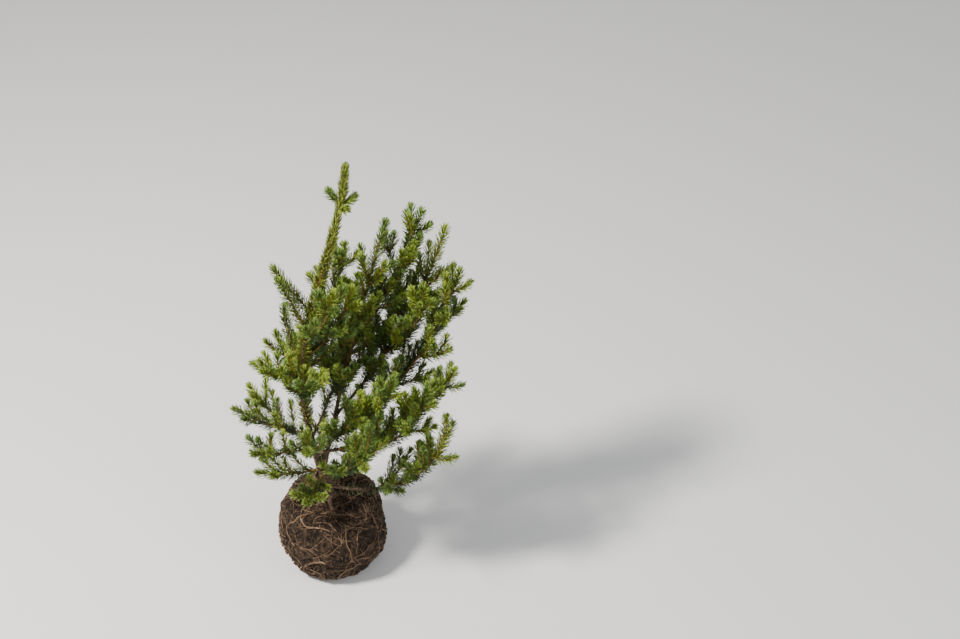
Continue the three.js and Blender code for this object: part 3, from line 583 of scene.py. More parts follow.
# Limbs. The woody branches and shoots that carry the needles. Each keeps one bearing while its slope turns
# evenly from foot to tip, so it is an arc in an upright plane, and it tapers evenly to its tip.
LIMB_TIP_RADIUS = 0.85
LIMB_THICKENING = 0.0068
FORK_SHARE = 0.8
YEAR_GROWTH = 62
BRANCH_TONES = (3, 5, 9)  # what picks each branch's tone from the noise, with its row
BRANCHES = (
    # name, parent, how far up the parent, bearing, slope at foot and at tip, length, the share that has lost
    # its needles, and the length of the last shoot, ahead of the side shoots, all as in the solids
    ("second_stem", "trunk", 40, 31, (76, 70), 436, 0.32, 92),
    ("fan_back", "second_stem", 228, 26, (52, 68), 236, 0.2, 36),
    ("fan_middle", "second_stem", 112, 18, (46, 73), 348, 0.18, 88),
    ("fan_right", "second_stem", 66, 4, (38, 76), 368, 0.2, 36),
    ("fan_front", "fan_middle", 130, 335, (40, 89), 157, 0, 36),
    ("stem_back", "second_stem", 176, 33, (26, 72), 161, 0, 36),
    ("upper_left", "trunk", 356, 166, (50, 58), 82, 0, 82),
    ("upper_left_front", "trunk", 316, 206, (76, 70), 107, 0, 107),
    ("upper_left_low", "trunk", 250, 141, (60, 92), 103, 0, 103),
    ("upper_back", "trunk", 340, 42, (25, 85), 124, 0, 36),
    ("upper_front", "trunk", 302, 322, (44, 78), 131, 0, 36),
    ("upper_right", "trunk", 266, 350, (44, 76), 159, 0, 36),
    ("middle_left", "trunk", 226, 184, (16, 40), 76, 0, 36),
    ("middle_left_front", "trunk", 238, 236, (30, 46), 96, 0, 36),
    ("middle_front", "trunk", 205, 290, (30, 60), 118, 0, 36),
    ("middle_back", "trunk", 222, 66, (38, 66), 122, 0, 36),
    ("middle_left_back", "trunk", 212, 122, (18, 46), 92, 0, 36),
    ("low_left", "trunk", 124, 188, (14, 46), 120, 0.3, 36),
    ("low_left_front", "trunk", 108, 232, (10, 46), 130, 0.3, 36),
    ("low_front", "trunk", 118, 276, (14, 52), 126, 0.3, 36),
    ("front_tall", "trunk", 104, 324, (30, 80), 187, 0.3, 58),
    ("front_wide", "trunk", 84, 350, (18, 66), 298, 0.22, 36),
    ("front_right", "front_wide", 40, 337, (14, 83), 239, 0, 36),
    ("front_low", "trunk", 66, 314, (14, 86), 219, 0.25, 84),
    ("front_fork", "front_tall", 84, 335, (36, 76), 161, 0, 36),
    ("front_rise", "trunk", 22, 339, (2, 88), 315, 0.3, 88),
    ("front_middle", "front_low", 90, 345, (50, 81), 128, 0, 66),
    ("low_back_right", "trunk", 112, 66, (22, 60), 182, 0.3, 36),
    ("low_back", "trunk", 132, 102, (18, 56), 142, 0.3, 36),
    ("low_left_back", "trunk", 98, 146, (8, 46), 134, 0.3, 36),
    ("base_left", "trunk", 54, 204, (0, 34), 100, 0, 36),
    ("base_front", "trunk", 44, 262, (-2, 36), 96, 0, 36),
    ("base_right", "trunk", 36, 12, (4, 40), 80, 0, 36),
    ("base_back", "trunk", 46, 92, (0, 34), 100, 0, 36),
    ("top_left", "trunk", 538, 176, (38, 62), 20, 0, 36),
    ("top_right", "trunk", 536, 8, (4, 48), 20, 0, 36),
    ("top_front", "trunk", 530, 305, (2, 48), 19, 0, 36),
    ("top_back", "trunk", 541, 60, (48, 66), 17, 0, 36),
)
LIMB = np.dtype([
    ("foot", float, 3), ("bearing", float), ("slope", float, 2), ("length", float), ("radius", float),
    ("bare", float), ("tip_growth", float), ("year_growth", float), ("tone", float),
])


def limb(foot, bearing, slope, length, radius, bare=0, tip_growth=1, year_growth=1, tone=0):
    """One row of the table of limbs."""
    return np.array([(foot, bearing, slope, length, radius, bare, tip_growth, year_growth, tone)], LIMB)[0]


def limb_run(limbs, t):
    """Centre, direction, level direction across, and radius of limbs at the share t of their length. The
    slope s turns evenly from s0 to s1, so the way out is length (sin s - sin s0) / (s1 - s0), and the way up
    is length (cos s0 - cos s) / (s1 - s0)."""
    start, end = limbs["slope"][..., 0], limbs["slope"][..., 1]
    slope = start + (end - start) * t
    reach = limbs["length"] / (end - start)
    out = reach * (np.sin(slope) - np.sin(start))
    rise = reach * (np.cos(start) - np.cos(slope))
    bearing = limbs["bearing"] + 0 * slope
    cos, sin = np.cos(bearing), np.sin(bearing)
    centre = limbs["foot"] + np.stack([out * cos, out * sin, rise], axis=-1)
    along = np.stack([np.cos(slope) * cos, np.cos(slope) * sin, np.sin(slope)], axis=-1)
    across = np.stack([-sin, cos, 0 * sin], axis=-1)
    radius = LIMB_TIP_RADIUS + (limbs["radius"] - LIMB_TIP_RADIUS) * np.clip(1 - t, 0, 1)
    return centre, along, across, radius


branches = np.zeros(len(BRANCHES), LIMB)
branch_fork = np.zeros(len(BRANCHES))
branch_row = {name: row for row, (name, *_) in enumerate(BRANCHES)}
for row, (name, parent, at, bearing, slope, length, bare, lead) in enumerate(BRANCHES):
    if parent == "trunk":
        foot, _, _, parent_radius = trunk_run(np.array(float(at)))
    else:
        parent_limb = branches[branch_row[parent]]
        foot, _, _, parent_radius = limb_run(parent_limb, at / parent_limb["length"])
    radius = min(LIMB_TIP_RADIUS + LIMB_THICKENING * length, FORK_SHARE * parent_radius)
    tone = corner_value(np.array([row, *BRANCH_TONES[:2]]), BRANCH_TONES[2])
    bearing, slope = math.radians(bearing), np.radians(slope)
    branches[row] = limb(foot, bearing, slope, length, radius, bare, lead, YEAR_GROWTH, tone)
    branch_fork[row] = parent_radius / length

# Bare boughs. The stretch of each strong branch nearest its parent, whose needles have nearly all gone. It
# flares where it leaves its parent, and has the grey-brown bark of the trunk's foot, turning to cushions.
BOUGH_STEP = 0.8
BOUGH_SIDES = 22
BOUGH_RELIEF = (0.7, 0.1)
BOUGH_BARK_FROM = 190  # height on the trunk whose bark a bough starts with
BOUGH_OVERLAP = 0.01  # share of its length that it runs on into its twig
FORK_FLARE = 0.55  # share by which a limb is thicker where it leaves its parent
FORK_FLARE_REACH = 4


def fork_flare(limbs, t, fork):
    """How many times thicker a limb is near its fork: 1 + flare e^(-way past it / reach)."""
    past = np.clip((t - fork) * limbs["length"], 0, None)
    return 1 + FORK_FLARE * np.exp(-past / FORK_FLARE_REACH)


bough_shapes = []
for row, (name, *_) in enumerate(BRANCHES):
    bare = branches[row]["bare"]
    if bare:
        steps = int((bare - branch_fork[row] / 2) * branches[row]["length"] / BOUGH_STEP)
        t = np.linspace(branch_fork[row] / 2, bare + BOUGH_OVERLAP, steps)
        run = limb_run(branches[row], t)
        height = BOUGH_BARK_FROM + t * branches[row]["length"]
        flare = fork_flare(branches[row], t, branch_fork[row])[:, None]
        bough_shapes.append(bark_bar(run, height, BOUGH_SIDES, *BOUGH_RELIEF, flare))
bough_nodes = ["bough_" + name for name, *_, bare, _ in BRANCHES if bare]
new_piece("boughs_bark", bough_shapes, old_bark, bough_nodes)

# Collar roots. Five stout woody roots run out from the foot of the trunk over the top of the ball, fork, and
# dive into its soil. They are arcs as the limbs are, pressed a little flat, in the bark of the trunk's foot.
COLLAR_ROOTS = 5
COLLAR_ROOT_REACH = 52
COLLAR_ROOT_RADIUS = 4.2
COLLAR_ROOT_RISE = 1.5  # how far above the collar its middle starts
COLLAR_ROOT_SLOPE = (2, -24)  # degrees at its start and its end
COLLAR_ROOT_WANDER = (0.35, 2.4)  # radians off an even spacing, and of the wave that gives each root its own
COLLAR_ROOT_VARIETY = (0.16, 1.7)  # share of the reach, and the same
COLLAR_ROOT_SWAY = (1.5, 7, 3)  # mm to a side, radians of that wave along a root, and a radian of bearing
COLLAR_ROOT_FLATNESS = 0.2
COLLAR_ROOT_FORKS = (0.42, 0.6)  # share of a root where a thinner one leaves it, to either side
COLLAR_ROOT_FORK_SPREAD = 0.6
COLLAR_ROOT_FORK_SLOPE = (-6, -30)
COLLAR_ROOT_FORK_THINNING = 0.62
COLLAR_ROOT_STEP = 0.7
COLLAR_ROOT_SIDES = 26
COLLAR_ROOT_RELIEF = (0.8, 0.1)


def collar_root(bearing, start, length, radius, slope):
    """One root as a closed bar, and its centre: an arc from "start" that sways from side to side, in an oval
    section that is flatter than it is wide."""
    root = limb(start, bearing, np.radians(slope), length, radius)
    t = np.linspace(0, 1, int(length / COLLAR_ROOT_STEP))
    centre, along, across, radius = limb_run(root, t)
    sway, waves, waves_round = COLLAR_ROOT_SWAY
    sideways = sway * (np.sin(t * waves + bearing * waves_round) - math.sin(bearing * waves_round))
    run = (centre + sideways[:, None] * across, along, across, radius)
    turn = 2 * np.pi * np.arange(COLLAR_ROOT_SIDES) / COLLAR_ROOT_SIDES
    oval = 1 - COLLAR_ROOT_FLATNESS * np.sin(turn) ** 2
    return bark_bar(run, t, COLLAR_ROOT_SIDES, *COLLAR_ROOT_RELIEF, oval), run[0]


collar_roots = []
for index in range(COLLAR_ROOTS):
    wander, variety = COLLAR_ROOT_WANDER, COLLAR_ROOT_VARIETY
    bearing = 2 * np.pi * index / COLLAR_ROOTS + wander[0] * math.sin(index * wander[1])
    reach = COLLAR_ROOT_REACH * (1 + variety[0] * math.sin(index * variety[1]))
    start = np.array([0, 0, BALL_HEIGHT + COLLAR_ROOT_RISE])
    shape, path = collar_root(bearing, start, reach, COLLAR_ROOT_RADIUS, COLLAR_ROOT_SLOPE)
    collar_roots.append(shape)
    for side, share in zip((-1, 1), COLLAR_ROOT_FORKS):
        fork = path[int(share * len(path))]
        rest = (1 - share) * reach
        radius = COLLAR_ROOT_FORK_THINNING * COLLAR_ROOT_RADIUS * (1 - share)
        heading = bearing + side * COLLAR_ROOT_FORK_SPREAD
        collar_roots.append(collar_root(heading, fork, rest, radius, COLLAR_ROOT_FORK_SLOPE)[0])
new_piece("collar_roots", collar_roots, old_bark, ["root_ball"])

# Side shoots and finer twigs. Each branch carries rings of two or three side shoots, a year's growth apart
# and shorter towards its tip, by the rule and the stream of chance of the solids. The longer side shoots
# then carry twigs of their own, and short twigs stand between the rings.
SHOOT_RINGS = 5
SHOOT_SHORTEST = 22
SHOOT_GROWTH = 0.32  # mm longer for each mm that a ring is further behind the first
SHOOT_LONGEST = 66
SHOOT_SHARE = 0.42  # of its branch's length, at most
SHOOT_SPREAD = math.radians(47)
SHOOT_UPTURN = math.radians(26)
SHOOT_SWING = 28  # degrees
SHOOT_STRETCH = (0.82, 1.12)
UPRIGHT = math.radians(52)  # slope from which a branch has three shoots to a ring
RING_TURN = 52
PAIR_LIFT = 17
BARE_FOOT = 7  # way past the bare stretch that has no shoots
CLEAR_OF_LIMBS = 7
CLEAR_FROM = 0.3  # share of a shoot from which it has to be clear of other limbs
RUN_STEP = 20
SLEEVE_GAP = 0.3
SLEEVE_WALL = 1.3
SLEEVES = (
    # name of the mass of needles round the leader, and the heights that it starts and ends at
    ("leader_lowest", 142, 196),
    ("leader_low", 280, 298),
    ("leader_long", 366, 521),
    ("leader_tip", 549, TREE_HEIGHT),
)
FIRST_SEED = 1000
SEED_STEP = 37
STREAM = (1664525, 1013904223, 2**32)  # the stream's factor, its addend, and what it wraps at
STREAM_RUN_IN = 4
SHOOT_TONE_SEED = 21
SHOOT_OLDEST = 2  # years' growth on a side shoot, at most
TWIG_SEED = 77
TWIG_SHARES = (0.36, 0.5)  # of the shoot that a finer twig stands on
TWIG_LENGTHS = (18, 40)
TWIG_SPREAD = math.radians(40)
TWIG_UPTURN = math.radians(32)
TWIG_SWING = 25  # degrees
TWIG_BARE_FOOT = 1.2 * BARE_FOOT
LOOSE_TWIG_EVERY = 16  # mm of branch between the short twigs that stand between the rings
LOOSE_TWIG_FIRST = 0.6 * LOOSE_TWIG_EVERY
LOOSE_TWIG_SHIFT = 6
LOOSE_TWIG_BARE_FOOT = 2 * BARE_FOOT
LOOSE_TWIG_LONGEST = 58
LOOSE_TWIG_SHARES = (0.7, 1.05)  # of what a side shoot there would have
LOOSE_TWIG_ROLLS = (-0.5, math.pi + 0.5)  # radians, so most leave the branch's upper side
LOOSE_TWIG_SECOND_YEAR = 1.5 * YEAR_GROWTH  # from here on they are two years old


def random_from(seed):
    """A repeatable stream from 0 to 1: state = (factor state + addend) mod wrap, less its first few."""
    factor, addend, wrap = STREAM
    state = seed
    drawn = 0
    while True:
        state = (state * factor + addend) % wrap
        drawn += 1
        if drawn > STREAM_RUN_IN:
            yield state / wrap


class Room:
    """What the limbs take up: straight stretches, each with an owner and a radius."""

    def __init__(self):
        self.owners, self.starts, self.ends, self.radii = [], [], [], []

    def take(self, owner, points, radii):
        """Adds the stretches between points that follow each other."""
        self.owners += [owner] * (len(points) - 1)
        self.starts += list(points[:-1])
        self.ends += list(points[1:])
        self.radii += list(radii[:-1])

    def is_clear(self, owner, start, end, radius, gap):
        """Whether the stretch from start to end keeps that gap to what others own: the least distance
        between two stretches, with each one's nearest point held to its ends."""
        b0, b1 = np.array(self.starts), np.array(self.ends)
        u, v, w = end - start, b1 - b0, start - b0
        uu, uv, vv, uw, vw = u @ u, v @ u, np.sum(v * v, axis=1), w @ u, np.sum(v * w, axis=1)
        cross = uu * vv - uv * uv
        s = np.where(cross > 1e-9, np.clip((uv * vw - vv * uw) / np.maximum(cross, 1e-9), 0, 1), 0)
        t = np.clip((uv * s + vw) / vv, 0, 1)
        s = np.clip((uv * t - uw) / uu, 0, 1)
        apart = np.linalg.norm(w + s[:, None] * u - t[:, None] * v, axis=1)
        mine = np.array(self.owners) == owner
        return bool(np.all(mine | (apart > radius + np.array(self.radii) + gap)))


def run_steps(length, start, end):
    """Shares of a limb from start to end, about as far apart as the step for runs."""
    steps = max(2, math.floor(length * (end - start) / RUN_STEP + 0.5))
    return np.linspace(start, end, steps + 1)


room = Room()
centre, _, _, radius = trunk_run(TREE_HEIGHT * run_steps(TREE_HEIGHT, 0, 1))
room.take("trunk", centre, radius)
for name, start, end in SLEEVES:
    shares = run_steps(TREE_HEIGHT, start / TREE_HEIGHT, end / TREE_HEIGHT)
    centre, _, _, radius = trunk_run(TREE_HEIGHT * shares)
    room.take(name, centre, radius + SLEEVE_GAP + SLEEVE_WALL)
for row, (name, *_, bare, _) in enumerate(BRANCHES):
    fork, length = branch_fork[row], branches[row]["length"]
    if bare:
        centre, _, _, radius = limb_run(branches[row], run_steps(length, fork, bare))
        room.take("bough_" + name, centre, radius)
    centre, _, _, radius = limb_run(branches[row], run_steps(length, max(fork, bare), 1))
    room.take(name, centre, radius)


def shoot_from(parent, t, spread, roll, length, upturn, years, tone):
    """A shoot that leaves its parent at share t, and as many years old as it has stretches of growth."""
    foot, along, across, _ = limb_run(parent, t)
    heading = offshoot(along, across, spread, roll)
    slope = math.asin(heading[2])
    bearing = math.atan2(heading[1], heading[0])
    radius = LIMB_TIP_RADIUS + LIMB_THICKENING * length
    growth = length / years
    return limb(foot, bearing, (slope, slope + upturn), length, radius, 0, growth, growth, tone)


side_shoots = []
for row, (name, *_) in enumerate(BRANCHES):
    parent = branches[row]
    stream = random_from(FIRST_SEED + SEED_STEP * row)
    for ring in range(SHOOT_RINGS):
        behind = parent["tip_growth"] + ring * YEAR_GROWTH
        longest = min(SHOOT_SHORTEST + SHOOT_GROWTH * behind, SHOOT_LONGEST)
        t = 1 - behind / parent["length"]
        if t < parent["bare"] + BARE_FOOT / parent["length"]:
            break
        slope = parent["slope"][0] + (parent["slope"][1] - parent["slope"][0]) * t
        rolls = [PAIR_LIFT, 180 - PAIR_LIFT]
        if slope > UPRIGHT:
            rolls = [turn + ring * RING_TURN for turn in (0, 120, 240)]
        for roll in rolls:
            turn = math.radians(roll + (next(stream) - 0.5) * SHOOT_SWING)
            stretch = SHOOT_STRETCH[0] + (SHOOT_STRETCH[1] - SHOOT_STRETCH[0]) * next(stream)
            length = min(longest, parent["length"] * SHOOT_SHARE) * stretch
            tone = corner_value(np.array([row, ring, roll]), SHOOT_TONE_SEED)
            years = min(ring + 1, SHOOT_OLDEST)
            shoot = shoot_from(parent, t, SHOOT_SPREAD, turn, length, SHOOT_UPTURN, years, tone)
            centre, _, _, radius = limb_run(shoot, run_steps(length, 0, 1))
            start, end = limb_run(shoot, CLEAR_FROM)[0], centre[-1]
            if room.is_clear(name, start, end, shoot["radius"], CLEAR_OF_LIMBS):
                room.take(name, centre, radius)
                side_shoots.append(shoot)
side_shoots = np.array(side_shoots, LIMB)

# Finer twigs on the side shoots, in pairs a year's growth behind the tip, and between the rings.
chance = np.random.default_rng(TWIG_SEED)
fine_twigs = []
for parent in side_shoots:
    for year in range(1, round(parent["length"] / parent["year_growth"])):
        t = 1 - year * parent["year_growth"] / parent["length"]
        if t * parent["length"] > TWIG_BARE_FOOT:
            for roll in (PAIR_LIFT, 180 - PAIR_LIFT):
                length = np.clip(parent["length"] * chance.uniform(*TWIG_SHARES), *TWIG_LENGTHS)
                turn = math.radians(roll + chance.uniform(-TWIG_SWING, TWIG_SWING))
                tone = chance.uniform(0, 1)
                fine_twigs.append(shoot_from(parent, t, TWIG_SPREAD, turn, length, TWIG_UPTURN, year, tone))
for parent in branches:
    green = parent["length"] * (1 - parent["bare"]) - parent["tip_growth"]
    for place in np.arange(LOOSE_TWIG_FIRST, green, LOOSE_TWIG_EVERY):
        behind = parent["tip_growth"] + place + chance.uniform(-LOOSE_TWIG_SHIFT, LOOSE_TWIG_SHIFT)
        t = 1 - behind / parent["length"]
        if t * parent["length"] > LOOSE_TWIG_BARE_FOOT:
            longest = min(SHOOT_SHORTEST + SHOOT_GROWTH * behind, SHOOT_SHARE * parent["length"])
            length = min(longest, LOOSE_TWIG_LONGEST) * chance.uniform(*LOOSE_TWIG_SHARES)
            turn = chance.uniform(*LOOSE_TWIG_ROLLS)
            years = 1 + int(place > LOOSE_TWIG_SECOND_YEAR)
            tone = chance.uniform(0, 1)
            fine_twigs.append(shoot_from(parent, t, TWIG_SPREAD, turn, length, TWIG_UPTURN, years, tone))
fine_twigs = np.array(fine_twigs, LIMB)

# Twigs. The wood of every needled branch and shoot, in thin orange-brown bark. Each is a tapering bar along
# its arc, thicker where it leaves its parent, with a slight knot at each year's end.
KNOT_HEIGHT = 0.22
KNOT_REACH = 2.2
FLARES_FROM = (2, 1)  # mm up a side shoot, and up a fine twig, from which its flare fades


def twig_bars(limbs, start, fork, steps, sides):
    """Twigs as bars from the share "start" of each limb to its tip, flared past the share "fork", with knots
    of height e^(-(way / reach)^2) round each year's end."""
    t = start[:, None] + (1 - start[:, None]) * np.linspace(0, 1, steps)
    rows = limbs[:, None]
    centre, _, across, radius = limb_run(rows, t)
    behind = rows["length"] * (1 - t) - rows["tip_growth"]
    half_year = rows["year_growth"] / 2
    from_knot = (behind + half_year) % rows["year_growth"] - half_year
    knots = KNOT_HEIGHT * np.exp(-((from_knot / KNOT_REACH) ** 2))
    radius = radius * fork_flare(rows, t, fork[:, None]) + knots
    return round_bars(centre, across, radius, sides)


shoot_fork = FLARES_FROM[0] / side_shoots["length"]
twig_fork = FLARES_FROM[1] / fine_twigs["length"]
twig_shapes = [
    twig_bars(branches, np.maximum(branch_fork / 2, branches["bare"]), branch_fork, steps=90, sides=9),
    twig_bars(side_shoots, 0 * shoot_fork, shoot_fork, steps=26, sides=7),
    twig_bars(fine_twigs, 0 * twig_fork, twig_fork, steps=12, sides=6),
]
foliage_nodes = ["foliage_" + name for name, *_ in SLEEVES + BRANCHES]
new_piece("twigs", twig_shapes, young_bark, foliage_nodes)

# Needles. Stiff four-sided needles stand all round every shoot on a spiral of the golden angle, close round
# the bud and more spread on older wood. The newest are yellow-green, last year's fresh green and the older
# ones dark, and each branch is a tone of its own. Each needle is a slim curved spindle with a sharp tip.
NEEDLE_LENGTH = 14.4
NEEDLE_WIDTH = 1.35
NEEDLE_THICKNESS = 1.1
NEEDLE_PROFILE = ((0, 0.8), (0.8, 0.92))  # share of its length, and of its full width there
NEEDLE_CURVE = 0.1  # share of its length by which its tip bends towards the shoot's
NEEDLE_ROOT = 0.6  # share of the shoot's radius at which it starts, inside the bark
NEEDLE_SPREADS = (40, 55)  # degrees from the shoot, just behind its tip and on older wood
SPREAD_REACH = 90  # mm behind the tip where they have the second spread
UNDERSIDE_SPREAD = 9  # degrees more under a level shoot, and fewer on top of it
LEVEL_SLOPES = (0.35, 0.85)  # rise of a shoot, from level to upright
LEVEL_LIFTS = (0.12, 0.3)  # how far the needles on top of a level shoot and under it turn up
TIP_CLOSING = 9  # mm behind the tip within which the needles close round the bud, and are shorter
TIP_CLOSENESS = 0.5  # share of their spread that they lose right at the tip
TIP_SHORTENING = 0.26  # and of their length
FOOT_REACH = 10  # mm past its foot within which a shoot's needles are shorter
FOOT_SHORTENING = 0.22
NEEDLES_PER_MM = (2.2, 1.5, 1.3)  # on a branch, its side shoots and its fine twigs
NEEDLE_STARTS = (1.1, 4, 2)  # where they start: how many times past a branch's fork, and mm up the others
SHORT_SHOOT = 22  # a shoot much shorter than this has its needles up to twice as close
TIP_NEEDLES = 14  # more of them, crowded round the bud at each tip
TIP_CROWD = 5  # mm of the tip that they stand on
NEEDLE_PLACES = (0.1, 0.9)  # share of its own stretch of the limb within which each stands
LAST_NEEDLE = 0.5  # mm behind the tip
BOUGH_NEEDLES = 70  # the last old ones left on each bare bough
BOUGH_GREEN = 0.7  # share of it that they are scattered over, from its outer end
BOUGH_GATHERING = 2  # over 1 makes more of them stand near that end
BOUGH_SPREAD_VARIETY = 9  # degrees
BOUGH_LENGTHS = (0.6, 1)  # share of a needle's length
GOLDEN_ANGLE = math.radians(137.508)
SPREAD_VARIETY = 5  # degrees
ROLL_VARIETY = 0.22
LENGTH_VARIETY = (0.86, 1.1)
TIP_LIGHTNESS = 0.15  # share of the tint that goes with the place on the needle, lighter at its tip
TINT_DARKNESS = 1.5  # over 1 makes more of the needles dark
TOP_TONE = 0.999  # just under 1, so that every tone is one of its kind's
NEEDLE_SEED = 1203
NEEDLE_KINDS = (
    # name, oldest year of growth, and the darkest and lightest colour of each tone
    ("newest", 0, (
        ("light", (0.06, 0.11, 0.006), (0.51, 0.63, 0.065)),
        ("middle", (0.038, 0.078, 0.006), (0.385, 0.51, 0.06)),
        ("deep", (0.025, 0.056, 0.006), (0.26, 0.40, 0.06)),
    )),
    ("last_year", 1, (
        ("light", (0.020, 0.048, 0.006), (0.215, 0.325, 0.045)),
        ("deep", (0.013, 0.036, 0.006), (0.14, 0.24, 0.045)),
    )),
    ("older", 9, (("deep", (0.008, 0.024, 0.006), (0.08, 0.15, 0.036)),)),
)


NEEDLE = np.dtype([
    ("centre", float, 3), ("along", float, 3), ("across", float, 3), ("radius", float),
    ("spread", float), ("roll", float), ("length", float), ("lift", float), ("year", float), ("tone", float),
])


def needle_rows(run, spread, roll, length, lift=0, year=0, tone=0):
    """Rows of the table of needles: the limb's centre, directions and radius where each stands, its spread
    from the limb and roll round it, its length and lift, its year of growth and its branch's tone."""
    rows = np.zeros(len(roll), NEEDLE)
    for name, column in zip(NEEDLE.names, (*run, spread, roll, length, lift, year, tone)):
        rows[name] = column
    return rows


def needle_shape(rows, chance):
    """Needles as curved spindles, with a tint that is each one's own. Each heads away from its limb by its
    spread, roll and lift, and at share s it is at foot + length (s heading + curve s^2 ahead)."""
    along, across = rows["along"], rows["across"]
    out = offshoot(along, across, np.full(len(rows), np.pi / 2), rows["roll"])
    heading = offshoot(along, across, rows["spread"], rows["roll"])
    heading = unit(heading + rows["lift"][:, None] * np.array([0, 0, 1]))
    foot = rows["centre"] + NEEDLE_ROOT * rows["radius"][:, None] * out
    ahead = unit(along - np.sum(along * heading, axis=1, keepdims=True) * heading)
    share = np.array([share for share, _ in NEEDLE_PROFILE] + [1])
    path = share[:, None] * heading[:, None] + NEEDLE_CURVE * share[:, None] ** 2 * ahead[:, None]
    path = foot[:, None] + rows["length"][:, None, None] * path
    width = np.array([width for _, width in NEEDLE_PROFILE]) / 2
    section = np.array([NEEDLE_WIDTH, NEEDLE_THICKNESS, NEEDLE_WIDTH, NEEDLE_THICKNESS])
    radii = np.broadcast_to(width[:, None] * section, (len(rows), len(width), len(section)))
    sideways = np.broadcast_to(np.cross(heading, ahead)[:, None], (len(rows), len(width), 3))
    own_tint = chance.uniform(0, 1, (len(rows), 1)) ** TINT_DARKNESS
    place = np.append(np.repeat(share[:-1], len(section)), [0, 1])
    tint = (1 - TIP_LIGHTNESS) * own_tint + TIP_LIGHTNESS * place
    return (*swept(path[:, :-1], sideways, radii, path[:, [0, -1]]), tint.ravel())


def needle_places(limbs, starts, per_mm, chance):
    """Where the needles of some limbs stand: which limb, share of it, year of growth and roll. A limb's own
    come evenly spaced from its start, and then those that crowd its tip."""
    grown = limbs["length"] * (1 - starts)
    per_mm = per_mm * (1 + np.exp(-grown / SHORT_SHOOT))
    spaced = np.round(grown * per_mm).astype(int)
    counts = spaced + TIP_NEEDLES
    which = np.repeat(np.arange(len(limbs)), counts)
    order = np.arange(counts.sum()) - np.repeat(np.cumsum(counts) - counts, counts)
    place = order + chance.uniform(*NEEDLE_PLACES, len(which))
    behind = np.where(
        order < spaced[which],
        np.maximum(grown[which] - place / per_mm[which], LAST_NEEDLE),
        TIP_CROWD * (counts[which] - place) / TIP_NEEDLES,
    )
    t = 1 - behind / limbs["length"][which]
    roll = order * GOLDEN_ANGLE + chance.normal(0, ROLL_VARIETY, len(which))
    older = behind - limbs["tip_growth"][which]
    year = np.where(older < 0, 0, 1 + np.floor(older / limbs["year_growth"][which]))
    return which, t, year, roll


def needle_pose(along, behind, from_foot, roll, chance):
    """Spread, length and lift of needles: by how far behind the tip and past the foot they stand, and by how
    level their shoot is. On a level shoot the needles underneath spread wider than those on top."""
    older = np.clip(behind / SPREAD_REACH, 0, 1)
    level = 1 - eased(along[:, 2], *LEVEL_SLOPES)
    under = -np.sin(roll)
    at_tip = 1 - eased(behind, 0, TIP_CLOSING)
    spread = NEEDLE_SPREADS[0] + (NEEDLE_SPREADS[1] - NEEDLE_SPREADS[0]) * older
    spread = (spread + UNDERSIDE_SPREAD * level * under) * (1 - TIP_CLOSENESS * at_tip)
    spread = np.radians(spread + chance.normal(0, SPREAD_VARIETY, len(roll)))
    length = NEEDLE_LENGTH * (1 - TIP_SHORTENING * at_tip)
    length = length * (1 - FOOT_SHORTENING * (1 - eased(from_foot, 0, FOOT_REACH)))
    length = length * chance.uniform(*LENGTH_VARIETY, len(roll))
    lift = LEVEL_LIFTS[0] + (LEVEL_LIFTS[1] - LEVEL_LIFTS[0]) * np.clip(under, 0, 1)
    return spread, length, lift * level


chance = np.random.default_rng(NEEDLE_SEED)
past_fork, up_shoot, up_twig = NEEDLE_STARTS
starts_of_groups = (
    np.maximum(branch_fork * past_fork, branches["bare"]),
    up_shoot / side_shoots["length"],
    up_twig / fine_twigs["length"],
)
needles = []
for limbs, starts, per_mm in zip((branches, side_shoots, fine_twigs), starts_of_groups, NEEDLES_PER_MM):
    which, t, year, roll = needle_places(limbs, starts, per_mm, chance)
    run = limb_run(limbs[which], t)
    behind = limbs["length"][which] * (1 - t)
    from_foot = limbs["length"][which] * (t - starts[which])
    spread, length, lift = needle_pose(run[1], behind, from_foot, roll, chance)
    needles.append(needle_rows(run, spread, roll, length, lift, year, limbs["tone"][which]))

# The last needles on the bare boughs: the older the wood, the fewer.
bough_odds = chance.uniform(0, 1, (len(branches), BOUGH_NEEDLES))
which = np.nonzero(bough_odds < (branches["bare"] > 0)[:, None])[0]
t = branches["bare"][which] * (1 - BOUGH_GREEN * chance.uniform(0, 1, len(which)) ** BOUGH_GATHERING)
roll = chance.uniform(0, 2 * np.pi, len(which))
spread = np.radians(chance.normal(NEEDLE_SPREADS[1], BOUGH_SPREAD_VARIETY, len(which)))
length = NEEDLE_LENGTH * chance.uniform(*BOUGH_LENGTHS, len(which))
needles.append(needle_rows(limb_run(branches[which], t), spread, roll, length, year=NEEDLE_KINDS[-1][1]))
needles = np.concatenate(needles)


def needle_material(name, dark, light):
    """Waxy green needles: a plain colour for each, between the two of its tone."""
    material, tree, shader = new_material(name, roughness=0.36, specular=0.55)
    colour = add_ramp(tree, add_tint(tree), ((0, dark), (1, light)))
    tree.links.new(colour, shader.inputs["Base Color"])
    return material


youngest = 0
for kind, oldest, tones in NEEDLE_KINDS:
    of_kind = needles[(needles["year"] >= youngest) & (needles["year"] <= oldest)]
    tone = np.floor(of_kind["tone"] * TOP_TONE * len(tones))
    for number, (tone_name, dark, light) in enumerate(tones):
        name = f"needles_{kind}_{tone_name}"
        shape = needle_shape(of_kind[tone == number], chance)
        new_piece(name, [shape], needle_material(name, dark, light), foliage_nodes)
    youngest = oldest + 1

